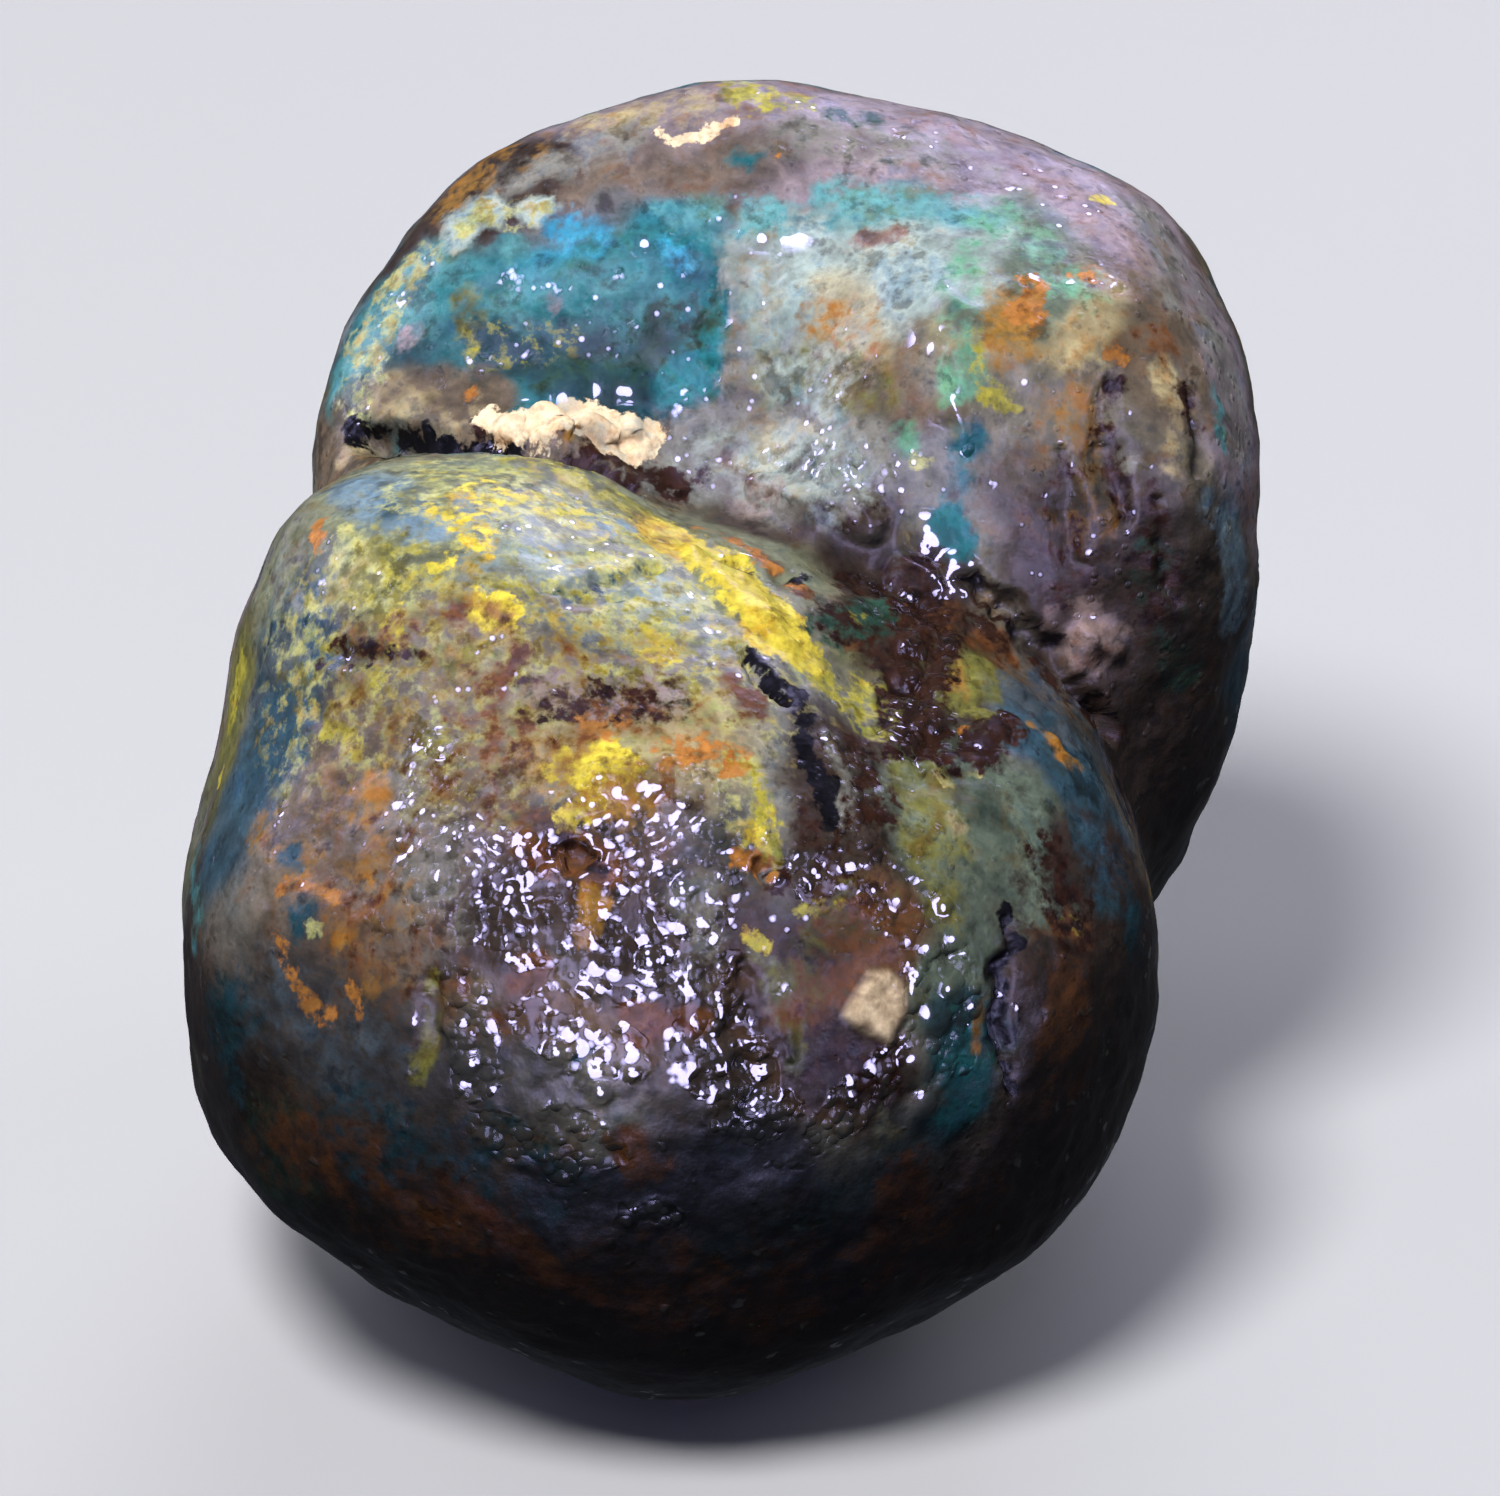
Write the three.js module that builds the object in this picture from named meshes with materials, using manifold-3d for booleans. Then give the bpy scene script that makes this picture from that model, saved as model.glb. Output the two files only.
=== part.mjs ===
// A rough, water-worn nodule of cloudy blue amber, as picked up: one natural solid.
// Millimetres, +Z up. The nodule lies on a worn flat, and the origin is under its middle, on that flat.
// A round lobe in front (towards -Y) and a blocky mass behind it grew together. A winding crease divides
// them, and a narrow fissure opens in the hollow where the crease turns down the right side.

import * as THREE from "three";
import { ImprovedNoise } from "three/addons/math/ImprovedNoise.js";
import { mergeVertices } from "three/addons/utils/BufferGeometryUtils.js";
import Module from "manifold-3d";

// ---- Driving dimensions -------------------------------------------------------------------------

const DETAIL = 21; // the skin has 20 * (DETAIL + 1)^2 triangles before it is cut
const CORE = new THREE.Vector3(0, 0, 11); // every point of the skin is in plain sight of this one
const REACH = 26; // a length from the core that is outside the nodule everywhere
const HALVINGS = 24; // steps that find the skin along a line from the core

// Masses are rounded boxes: "square" is 2 for an ellipsoid, and rises as the shape gets boxier.
const LOBE = [
  { name: "belly", at: [-2.2, -5.6, 9.6], half: [11.5, 10.8, 10.7], square: 2.2 },
  { name: "left shoulder", at: [-6.4, -3.2, 15.0], half: [5.8, 6.2, 6.9], square: 2.4 },
  { name: "right swell", at: [4.8, -5.2, 9.6], half: [5.8, 7.4, 7.4], square: 2.2 },
];
const BLOCK = [
  { name: "body", at: [0.8, 5.0, 12.4], half: [9.9, 9.2, 11.0], square: 2.7 },
  { name: "roof", at: [0.2, 8.4, 19.2], half: [9.0, 6.6, 7.6], square: 2.1 },
  { name: "blue corner", at: [-4.8, 4.2, 18.2], half: [5.6, 4.8, 5.6], square: 2.8 },
  { name: "heel", at: [-0.4, 4.6, 7.2], half: [8.0, 8.8, 7.7], square: 2.2 },
  { name: "instep", at: [-1.0, 1.2, 4.6], half: [6.8, 5.6, 5.4], square: 2.2 },
];
const FLANK = [
  { name: "right flank", at: [7.6, 5.2, 15.8], half: [5.9, 7.4, 9.2], square: 3.0 },
];
const MASS_BLEND = 2.0; // how softly neighbouring masses run together
const CREASE_BLEND = 0.7; // the same between the lobe and the block, where the crease stays sharp

// The stone is worn or snapped off along these planes. "round" softens the edge that each one leaves.
const BLOCK_FACES = [
  { name: "blue window", through: [-2.0, 3.0, 22.2], normal: [-0.12, -0.72, 0.69], round: 0.8 },
  { name: "back", through: [0.0, 13.6, 12.0], normal: [-0.1, 1.0, 0.1], round: 2.5 },
];
const LOBE_FACES = [
  { name: "underside", through: [-6.9, -12.0, 2.9], normal: [-0.45, -0.45, -0.77], round: 2.0 },
];

// Swells of the whole skin: their height, and the size of one swell.
const SWELLS = [
  { height: 0.4, size: 5.0, shift: 0 },
  { height: 0.2, size: 2.2, shift: 9 },
];

// A dent presses the skin towards the core along a line, deepest on the line and shallower to its ends.
// A negative depth raises the skin instead.
const DENTS = [
  {
    name: "ledge under the blue window",
    depth: -0.7,
    width: 1.7,
    line: [[-9, 2.5, 20.5], [-5.5, 1.5, 21.5], [-2, 1, 21], [2, -0.5, 20.5], [5.5, -2, 20.5]],
  },
  {
    name: "trough behind the blue window's edge",
    depth: 0.5,
    width: 1.9,
    line: [[-6, 7, 24.5], [-3, 6.5, 25.5], [0, 6, 25.5]],
  },
  { name: "hollow", depth: 1.4, width: 4.4, line: [[3, -5.5, 20], [4.5, -8.5, 19], [4, -11, 18]] },
  { name: "valley", depth: 0.6, width: 2.8, line: [[2.5, -13, 17], [1.5, -14.5, 15], [1.5, -15.5, 12]] },
  { name: "flank groove", depth: 0.9, width: 1.7, line: [[9, 0, 23.5], [9, -1.5, 21.5], [9.5, -2, 19]] },
];
const DENT_END = 0.25; // share of a dent's depth that is left at its two ends
const DENT_RAMP = 4; // the full depth is reached a quarter of the way along

// The fissure is a wedge cut towards the core: "point" is its width inside, as a share of its mouth's.
const FISSURE = { top: [0.6, -7.6, 20.2], foot: [2.3, -12.3, 17.5], width: 0.9, depth: 3.2, point: 0.2 };

const WEAR_ROUNDS = 3; // rounds of wear that soften the facets
const WEAR_STEP = 0.5; // how far a point moves towards its neighbours in one round

const GROUND_SIZE = 80; // side of the block below the resting flat
const MERGE = 1e-4; // points closer than this are one point

// ---- Shape of the skin --------------------------------------------------------------------------

const noise = new ImprovedNoise();
const vector = (xyz) => new THREE.Vector3(...xyz);

function softMin(a, b, blend) {
  const share = Math.max(blend - Math.abs(a - b), 0) / blend;
  return Math.min(a, b) - (share * share * blend) / 4;
}

const softMax = (a, b, blend) => -softMin(-a, -b, blend);

// Roughly the distance outside a mass, and below zero inside it.
function outsideMass(p, mass) {
  const shares = [p.x, p.y, p.z].map((value, axis) => Math.abs(value - mass.at[axis]) / mass.half[axis]);
  const radius = shares.reduce((sum, share) => sum + share ** mass.square, 0) ** (1 / mass.square);
  return (radius - 1) * Math.min(...mass.half);
}

function outsideAll(p, masses) {
  const each = masses.map((mass) => outsideMass(p, mass));
  return each.reduce((nearest, next) => softMin(nearest, next, MASS_BLEND));
}

function wornOff(value, p, faces) {
  return faces.reduce((most, face) => {
    const beyond = p.clone().sub(vector(face.through)).dot(vector(face.normal).normalize());
    return softMax(most, beyond, face.round);
  }, value);
}

function swelling(p) {
  return SWELLS.reduce((sum, { height, size, shift }) => {
    return sum + height * noise.noise(p.x / size + shift, p.y / size, p.z / size);
  }, 0);
}

function outsideNodule(p) {
  const lobe = wornOff(outsideAll(p, LOBE), p, LOBE_FACES);
  const window = wornOff(outsideAll(p, BLOCK), p, BLOCK_FACES);
  const block = softMin(window, outsideAll(p, FLANK), MASS_BLEND);
  return softMin(lobe, block, CREASE_BLEND) + swelling(p);
}

// The skin along one direction from the core, by halving.
function skinPoint(direction) {
  let inside = 0;
  let beyond = REACH;
  for (let i = 0; i < HALVINGS; i += 1) {
    const middle = (inside + beyond) / 2;
    if (outsideNodule(CORE.clone().addScaledVector(direction, middle)) < 0) inside = middle;
    else beyond = middle;
  }
  return CORE.clone().addScaledVector(direction, inside);
}

// How far in (or out) a dent moves a skin point, from its distance to the dent's line.
function dentDepth(p, dent) {
  const nearest = new THREE.Vector3();
  const stretches = dent.line.length - 1;
  let share = 0;
  for (let i = 0; i < stretches; i += 1) {
    const stretch = new THREE.Line3(vector(dent.line[i]), vector(dent.line[i + 1]));
    const t = stretch.closestPointToPointParameter(p, true);
    const away = stretch.at(t, nearest).distanceTo(p) / dent.width;
    const along = (i + t) / stretches;
    const taper = Math.min(1, DENT_RAMP * Math.min(along, 1 - along) + DENT_END);
    if (away < 1) share = Math.max(share, taper * (1 - away * away) ** 2);
  }
  return share * dent.depth;
}

// Softens the facets: each point moves part of the way to the middle of its neighbours.
function worn(skin) {
  const places = skin.getAttribute("position");
  const neighbours = Array.from({ length: places.count }, () => new Set());
  for (let i = 0; i < skin.index.count; i += 3) {
    const corners = [0, 1, 2].map((corner) => skin.index.getX(i + corner));
    corners.forEach((corner) => {
      corners.filter((other) => other !== corner).forEach((other) => neighbours[corner].add(other));
    });
  }
  for (let round = 0; round < WEAR_ROUNDS; round += 1) {
    const before = neighbours.map((_, i) => new THREE.Vector3().fromBufferAttribute(places, i));
    neighbours.forEach((around, i) => {
      const middle = new THREE.Vector3();
      around.forEach((other) => middle.addScaledVector(before[other], 1 / around.size));
      places.setXYZ(i, ...before[i].clone().lerp(middle, WEAR_STEP));
    });
  }
  return skin;
}

function skinGeometry() {
  const ball = new THREE.IcosahedronGeometry(1, DETAIL);
  ball.deleteAttribute("normal");
  ball.deleteAttribute("uv");
  const skin = mergeVertices(ball, MERGE);
  const places = skin.getAttribute("position");
  for (let i = 0; i < places.count; i += 1) {
    const direction = new THREE.Vector3().fromBufferAttribute(places, i).normalize();
    const p = skinPoint(direction);
    const pressed = DENTS.reduce((sum, dent) => sum + dentDepth(p, dent), 0);
    p.addScaledVector(direction, -pressed);
    places.setXYZ(i, p.x, p.y, p.z);
  }
  return worn(skin);
}

// ---- Cutters ------------------------------------------------------------------------------------

// A leaf-shaped blade, widest near its foot, that narrows towards the inside of the stone.
function fissureGeometry() {
  const { width, depth, point } = FISSURE;
  const top = vector(FISSURE.top);
  const along = vector(FISSURE.foot).sub(top);
  const length = along.length();
  const leaf = new THREE.Shape();
  leaf.moveTo(0, 0);
  leaf.quadraticCurveTo(width, length * 0.8, 0, length);
  leaf.quadraticCurveTo(-width * 0.6, length * 0.7, 0, 0);
  const blade = new THREE.ExtrudeGeometry(leaf, {
    depth: 2 * depth,
    bevelEnabled: false,
    curveSegments: 8,
  });
  blade.translate(0, 0, -depth);
  const places = blade.getAttribute("position");
  for (let i = 0; i < places.count; i += 1) {
    if (places.getZ(i) < 0) places.setX(i, places.getX(i) * point);
  }
  const out = top.clone().addScaledVector(along, 0.5).sub(CORE).normalize();
  const across = along.clone().cross(out).normalize();
  const down = out.clone().cross(across).normalize();
  blade.applyMatrix4(new THREE.Matrix4().makeBasis(across, down, out).setPosition(top));
  return blade;
}

function groundGeometry() {
  const ground = new THREE.BoxGeometry(GROUND_SIZE, GROUND_SIZE, GROUND_SIZE);
  ground.translate(0, 0, -GROUND_SIZE / 2);
  return ground;
}

// ---- Solids -------------------------------------------------------------------------------------

const wasm = await Module();
wasm.setup();

function solidOf(geometry) {
  geometry.deleteAttribute("normal");
  geometry.deleteAttribute("uv");
  const merged = mergeVertices(geometry, MERGE);
  return new wasm.Manifold(
    new wasm.Mesh({
      numProp: 3,
      vertProperties: merged.getAttribute("position").array,
      triVerts: new Uint32Array(merged.index.array),
    }),
  );
}

function geometryOf(solid) {
  const mesh = solid.getMesh();
  const geometry = new THREE.BufferGeometry();
  geometry.setAttribute("position", new THREE.BufferAttribute(mesh.vertProperties, 3));
  geometry.setIndex(new THREE.BufferAttribute(mesh.triVerts, 1));
  return geometry;
}

// Puts the origin under the middle of the shape, at its lowest level.
function standOnOrigin(geometry) {
  geometry.computeBoundingBox();
  const { min, max } = geometry.boundingBox;
  geometry.translate(-(min.x + max.x) / 2, -(min.y + max.y) / 2, -min.z);
  return geometry;
}

const stone = solidOf(skinGeometry()).subtract(solidOf(groundGeometry()));
const nodule = stone.subtract(solidOf(fissureGeometry()));

const amber = new THREE.MeshStandardMaterial({ color: 0x6d6a58, roughness: 0.3, metalness: 0 });
const mesh = new THREE.Mesh(standOnOrigin(geometryOf(nodule)), amber);
mesh.name = "amber_nodule";

const specimen = new THREE.Group();
specimen.add(mesh);

export default specimen;
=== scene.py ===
import math

import bpy
import numpy as np
from bpy.props import FloatProperty, FloatVectorProperty, IntProperty, PointerProperty
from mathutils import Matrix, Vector, noise
from mathutils.bvhtree import BVHTree


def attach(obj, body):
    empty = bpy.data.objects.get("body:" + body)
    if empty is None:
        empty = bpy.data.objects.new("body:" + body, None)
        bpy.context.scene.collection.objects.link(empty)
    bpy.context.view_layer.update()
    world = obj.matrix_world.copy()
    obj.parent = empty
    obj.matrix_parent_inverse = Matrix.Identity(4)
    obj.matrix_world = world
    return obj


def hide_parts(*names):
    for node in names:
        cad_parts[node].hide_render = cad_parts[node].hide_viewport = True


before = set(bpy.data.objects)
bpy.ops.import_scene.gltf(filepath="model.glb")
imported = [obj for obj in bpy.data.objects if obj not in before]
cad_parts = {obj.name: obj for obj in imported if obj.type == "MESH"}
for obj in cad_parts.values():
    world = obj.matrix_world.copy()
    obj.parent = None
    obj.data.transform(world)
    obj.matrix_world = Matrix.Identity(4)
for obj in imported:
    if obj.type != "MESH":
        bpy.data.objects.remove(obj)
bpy.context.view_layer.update()  # "bodies", "nodes", "joints" and "record"

bl_info = {
    "name": "Rough amber specimen",
    "version": (1, 0, 0),
    "blender": (4, 5, 0),
    "location": "3D View > Sidebar > Amber",
    "description": "Gives a water-worn nodule of cloudy blue amber its crust, colours and wet gloss",
    "category": "Object",
}

MM = 0.001
NODE = "amber_nodule"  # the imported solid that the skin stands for
SEED = 2  # fixes how the strokes wander

# ---- Where things are on the skin ---------------------------------------------------------------
# Places are in millimetres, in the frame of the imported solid: +X right, -Y towards the round lobe's
# front, +Z up, and zero on the resting flat. Each entry is one stroke along a few points near the
# skin: what it shows, its pigment, its radius, its strength, and its points.

# Lines that the colours and the relief share.
CHIPS_LINE = [(-5.3, 2.5, 21.2), (-3.8, 2.5, 21.1), (-2.3, 2.7, 20.9)]
RIDGE_LINE = [(0, 6, 24), (0, 4.6, 22.6), (0, 3.5, 21.5)]
UPPER_CRACK = [(0.5, -6.3, 19.6), (1, -7.2, 19.4), (1.6, -7.8, 18.8)]
FRACTURE = [(-1.6, -3.8, 20.8), (-3, -5.2, 21), (-4, -6, 20.8)]
SECOND_FRACTURE = [(-4.5, -5.8, 21), (-2.2, -5.3, 20.6)]
BROWN_LINE = [(-10, -6, 19.4), (-8.6, -6.8, 20), (-7.4, -7.2, 20)]
RIGHT_CRACK = [(7, -10, 14.5), (6.6, -11, 13.4), (6.6, -11.4, 12.4), (7, -12, 10.5)]
OLIVE_LINE = [(-7, -13, 14.5), (-7, -13.5, 13), (-7.4, -13.5, 12)]
SEAM = [(1, -13, 15), (1.5, -13.5, 14), (1.5, -14, 12.5)]
LOBE_HOLE = [(-4, -12, 17.6), (-3.4, -12.1, 17.3)]
PIT = [(1.1, -12, 16.9)]
TONGUE_HOLE = [(0.4, -2.5, 20.1)]
SECOND_HOLE = [(1.5, -2.4, 19.7)]

# Broad soft tints that lie under everything. A later one lies over an earlier one.
WASHES = (
    ("roof", "mauve", 4.2, 1.4, [
        (-8, 8.5, 23), (-4.5, 10, 25.5), (0, 10.5, 26.5), (5, 9.5, 26), (9, 8.5, 25),
    ]),
    ("right shoulder", "mauve", 3.0, 1.2, [(10, 7, 24.5), (12, 5.5, 23), (13, 3, 20)]),
    ("brown strip of the roof", "taupe", 1.6, 0.8, [(-5, 8.4, 25), (-2, 8, 25.4), (0, 8, 25.8)]),
    ("dim left of the roof", "umber", 2.6, 1.1, [(-8, 8.5, 23), (-5.6, 9.4, 24.8)]),
    ("flank", "stone", 4.2, 1.6, [(8.3, 3, 24.3), (9, 1, 22), (9.5, -0.5, 19), (11.5, 0, 16)]),
    ("brown shoulder", "taupe", 2.4, 1.2, [(8, 3, 24.5), (10, 3, 23.8), (11, 2.4, 22.6)]),
    ("warm shoulder", "sand", 2.0, 1.7, [(6.8, 3, 24.4), (8.2, 3.2, 24.6)]),
    # Painted shade: the flank's foot is darkened with umber.
    ("dim foot of the flank", "umber", 3.4, 1.3, [(9.4, -0.8, 18), (11.5, -0.5, 14), (12.5, 1, 15)]),
    ("shade on the flank", "umber", 2.6, 0.75, [(8, -0.4, 20.2), (9.4, 0, 20.4), (12, 1, 18)]),
    ("green-grey corner of the block", "sea", 1.8, 1.2, [(6.6, 5.5, 25.2), (8, 4.6, 25), (6.6, 3, 24.6)]),
    ("window", "teal", 3.2, 2.0, [(-8, 5.6, 22.2), (-4.5, 5, 22.7), (-1.5, 5, 23)]),
    ("bluest corner", "azure", 0.8, 0.4, [(-5, 6.6, 24), (-3, 7.2, 24.8), (-1.2, 6.4, 24.6)]),
    ("deep lower corner", "petrol", 1.9, 1.7, [(-3, 4, 22), (-1, 3.7, 21.8)]),
    ("deep lower edge", "petrol", 1.5, 1.0, [(-8, 5, 21.8), (-5.5, 4.5, 22), (-3, 4.2, 22)]),
    ("teal behind the chips", "petrol", 0.9, 1.2, [(-2.2, 3.7, 21.7), (-1, 3.5, 21.5), (-0.5, 3.2, 21.2)]),
    ("pale left rim", "aqua", 1.2, 0.8, [(-9.8, 5, 21.2), (-9, 6.5, 22.4), (-7, 7.7, 24)]),
    ("middle panel", "fog", 2.3, 2.0, [(2, 5.4, 24), (3.5, 4.3, 24), (5, 4.4, 24.8)]),
    ("sandy heart", "sand", 1.5, 0.7, [(2.8, 3.8, 23.8), (3.6, 2.6, 23.2)]),
    ("blue top of the panel", "aqua", 1.2, 0.8, [(3.6, 6.2, 25), (6, 6.2, 25.4)]),
    ("teal foot of the panel", "teal", 1.0, 0.3, [
        (1.2, 4.4, 23), (1.5, 3, 21.8), (3.6, 1.2, 21.8), (5.6, 0.2, 21.4),
    ]),
    ("lip", "taupe", 1.0, 1.4, [(-9.4, 4.4, 20.8), (-7.5, 3.8, 21), (-5.4, 2.4, 21.2)]),
    ("roll", "ash", 2.0, 1.8, [(-1, 2.2, 20.4), (1.4, 1.4, 20.4), (3.6, 0.2, 20.6), (5, 0, 20.4)]),
    ("belly of the roll", "umber", 1.5, 0.9, [(0.6, 0.2, 19.8), (2.6, -0.8, 19.4), (4.4, -0.8, 19)]),
    ("lobe", "ash", 9.0, 1.5, [(-7, -8, 18), (-2, -9, 18), (1, -11, 15)]),
    ("shoulder of the lobe", "haze", 4.0, 1.8, [(-9.5, -2, 21), (-5, -2, 21.8), (-1, -3, 21)]),
    ("middle of the lobe's top", "fog", 1.8, 0.8, [(-4.6, -4.4, 21.4), (-2, -5, 20.8)]),
    ("middle of the lobe", "taupe", 3.2, 0.7, [(-6, -7.4, 20), (-3, -8, 19.8)]),
    ("left edge", "olive", 2.2, 1.0, [(-12, -2.5, 17), (-12.6, -4, 14.6)]),
    ("left side", "deep_blue", 2.4, 1.2, [(-10.6, -4.6, 19), (-11, -6.5, 17.4), (-12, -7, 15)]),
    ("left quarter", "taupe", 4.0, 1.2, [(-9, -9, 17.6), (-9, -11, 15.4), (-7.6, -12, 15)]),
    ("brown left quarter", "rust", 2.6, 0.5, [(-9, -10.6, 16), (-8, -12, 15)]),
    ("tan middle", "sand", 2.0, 0.9, [(-4.4, -9, 19.2), (-2.4, -9.6, 19), (-0.4, -9.6, 18.8)]),
    ("under the water", "umber", 3.4, 0.9, [(-6, -12, 17), (-3.6, -12.6, 16.4), (-1.5, -12.4, 17)]),
    ("lavender under the water", "mauve", 2.0, 0.7, [
        (-6.6, -11.4, 17), (-5.4, -12.8, 16), (-1.6, -12.2, 17),
    ]),
    ("brown under the water", "umber", 2.2, 1.0, [(-5.6, -12.8, 16), (-3.4, -12.4, 17), (-2, -13, 15.8)]),
    ("haze right of the water", "slate", 2.2, 0.6, [(0, -12.4, 16.6), (0, -13.6, 14.8)]),
    ("dim right of the water", "umber", 2.8, 0.9, [(0, -13, 15.4), (0.4, -14.2, 13), (0.4, -14.8, 11)]),
    ("below the fissure", "umber", 2.4, 1.6, [(3.4, -9, 17.6), (3, -11, 17), (4, -11.4, 15.8)]),
    ("hollow", "umber", 2.2, 1.5, [(4, -1.6, 18.8), (4.8, -4, 18), (4.8, -6.6, 17.4)]),
    ("olive of the hollow", "olive", 1.5, 0.9, [(3.6, -5.6, 18.2), (6, -3.6, 17.6)]),
    ("right side", "sea", 3.4, 1.4, [(6, -9, 16), (7.4, -9, 14.8), (6.4, -10.6, 14)]),
    ("right shoulder of the lobe", "deep_blue", 2.2, 1.2, [(8, -5, 16.6), (9.4, -6.6, 14.6)]),
    # Painted shade: the next three darken the shaded right side, the right foot and the low left edge.
    ("dark right side", "umber", 4.0, 2.0, [(9.2, -9, 13), (9.4, -9.6, 10), (9.8, -8, 7)]),
    ("dark foot of the block", "umber", 6.0, 1.6, [(12.5, -1, 11), (12.5, 1, 7), (12, 4, 5)]),
    ("dark left edge", "umber", 3.6, 1.2, [(-13, -6, 10.5), (-12.6, -9, 9.5), (-12.6, -4, 11.5)]),
    ("deep teal right of the chip", "petrol", 1.3, 1.2, [(6, -12, 12.4), (5.5, -12.8, 10.8)]),
    ("rust round the chip", "rust", 2.2, 1.3, [(3.4, -12.2, 15.2), (2.2, -13.2, 14), (3, -13.6, 12.6)]),
    ("umber round the chip", "umber", 2.0, 1.1, [(2.4, -12.8, 15), (2.2, -13.4, 13.6), (3.2, -13.6, 12.4)]),
    ("plum", "navy", 3.2, 0.7, [(-10.6, -11, 12.4), (-8, -13.2, 12), (-6, -14, 12)]),
    ("rust above the plum", "rust", 1.6, 0.7, [(-5, -13.8, 14), (-2, -14.2, 13.6)]),
    # Painted shade: the front foot is darkened with umber.
    ("dark foot", "umber", 6.0, 1.5, [(-10, -10.5, 6), (-5, -13.6, 5.5), (1, -14, 5), (6, -11.5, 5)]),
    ("navy foot", "navy", 2.6, 1.2, [(-3, -14.9, 9), (0.5, -14.8, 9.6), (2.4, -14.4, 7.4)]),
    ("petrol foot", "petrol", 1.5, 0.7, [(0.4, -14.8, 7.6), (4, -13.5, 10)]),
    ("back of the block", "stone", 6.0, 1.2, [(-7, 12, 16), (0, 14.5, 14), (7, 13, 16)]),
    ("mauve of the back", "mauve", 4.5, 1.2, [(-2, 13.5, 21), (5, 13, 21)]),
    ("blue window of the back", "teal", 3.2, 1.5, [(-8, 11, 19), (-4.6, 13, 17.6)]),
    ("dark foot of the back", "umber", 4.5, 1.0, [(-6, 12, 6), (0, 13, 5), (7, 11, 6)]),
    ("green of the left side", "sea", 4.0, 1.2, [(-12, 3, 15), (-12, 7, 12)]),
    ("haze of the left side", "haze", 3.0, 1.0, [(-13, -3, 12), (-12.6, 0, 9)]),
    ("blue window of the right side", "deep_blue", 3.0, 1.3, [(13, 4, 14), (12.4, 8, 11)]),
    ("rust of the right side", "rust", 2.6, 1.0, [(13, 6, 18), (12, 9, 15)]),
)

# Flecks and patches. Strength 0.6 scatters them, 1 leaves holes, and 2 covers.
WINDOW_MARKS = (
    ("cream blobs on the rim", "fog", 0.8, 1.6, [(-6.7, 7.7, 24.2), (-6, 8, 24.5)]),
    ("bright blob on the rim", "fog", 0.6, 1.8, [(-4.7, 7.6, 24.6)]),
    ("straw in the blobs", "straw", 0.6, 0.6, [(-6.7, 7.7, 24.2), (-6, 8, 24.5), (-4.7, 7.6, 24.6)]),
    ("pale lower blob", "aqua", 0.7, 1.2, [(-5.6, 6.8, 24)]),
    ("specks along the rim", "straw", 0.9, 0.5, [(-9.6, 4.8, 21.3), (-9.2, 6, 22), (-8, 7.2, 23.4)]),
    ("pale haze", "aqua", 1.4, 0.15, [(-7.6, 5.8, 22.6), (-5, 5.6, 23.2), (-2.4, 5.4, 23.4)]),
    ("azure spots", "azure", 0.8, 1.3, [(-4, 7, 24.5), (-3.6, 6.8, 24.4)]),
    ("azure by the ridge", "azure", 0.5, 0.7, [(-1.5, 6, 24), (-1, 6, 24)]),
    ("teal by the ridge", "teal", 0.9, 1.3, [(-0.6, 6, 24), (-0.9, 4.6, 22.8), (-1, 3.7, 21.8)]),
    ("green by the ridge", "green", 0.9, 1.0, [(-1.1, 5, 23), (-2, 4.6, 22.5), (-2.4, 4.2, 22)]),
    ("deep teal by the chips", "petrol", 0.8, 0.9, [(-2.2, 3.9, 21.9), (-1.3, 3.4, 21.4)]),
    ("yellow-green patch", "olive_yellow", 0.9, 0.2, [(-6.2, 5, 22.4), (-4.2, 4.7, 22.4)]),
    ("emerald along the foot", "green", 0.7, 0.4, [(-7, 4.6, 21.7), (-4, 4, 22), (-3, 4.2, 22)]),
    ("olive streak", "olive", 0.5, 0.9, [(-6.6, 5.8, 23.2), (-6.4, 5.2, 22.6)]),
    ("rosy spot", "mauve", 0.5, 0.9, [(-8, 5.5, 22)]),
    ("small rosy spot", "mauve", 0.35, 1.2, [(-4.2, 5.4, 23)]),
    # Partly a painted highlight: the raised ridge is laid in pale grey along its crest.
    ("pale upright ridge", "ash", 0.5, 1.1, RIDGE_LINE),
    ("whitish top edge", "aqua", 0.8, 0.66, [
        (-1, 6.7, 24.8), (1.4, 6.7, 25), (3.4, 6.8, 25.4), (6, 6.4, 25.6),
    ]),
    ("rosy line", "rose", 0.35, 1.0, [(3, 5.4, 24.8), (4.4, 5.6, 25)]),
    ("white haze of the panel", "fog", 1.3, 1.0, [(4.4, 5, 24.7), (4.8, 3.6, 24.4)]),
    ("tan of the panel", "ochre", 0.9, 0.4, [(2.2, 3.8, 23.4), (3.4, 3.2, 23.5)]),
    ("olive foot of the panel", "olive", 1.1, 0.35, [(2, 3, 22.6), (3.6, 1.8, 22.6)]),
    ("teal at the panel's foot", "teal", 0.7, 0.4, [(1.5, 2.8, 21.9), (2.6, 1.7, 21.7)]),
    ("haze at the panel's foot", "haze", 1.0, 0.9, [(1.2, 3.4, 22.4), (2.2, 2.4, 22.4)]),
    ("pale foot of the panel", "fog", 0.9, 0.9, [(1.6, 3.2, 22.4), (2.6, 2.2, 22.3)]),
    ("mint foot", "mint", 0.6, 1.3, [(4.5, 0.6, 22)]),
    ("yellow-green drop", "straw", 0.35, 1.6, [(4.8, 0.2, 21.6)]),
    ("deep right foot", "teal", 0.6, 0.8, [(6, 0.2, 22), (5.8, 0, 21)]),
    ("mint edge of the panel", "mint", 0.7, 0.8, [(6, 4.4, 25), (5.8, 2.4, 24.2), (5.9, 1, 23)]),
)

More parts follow.
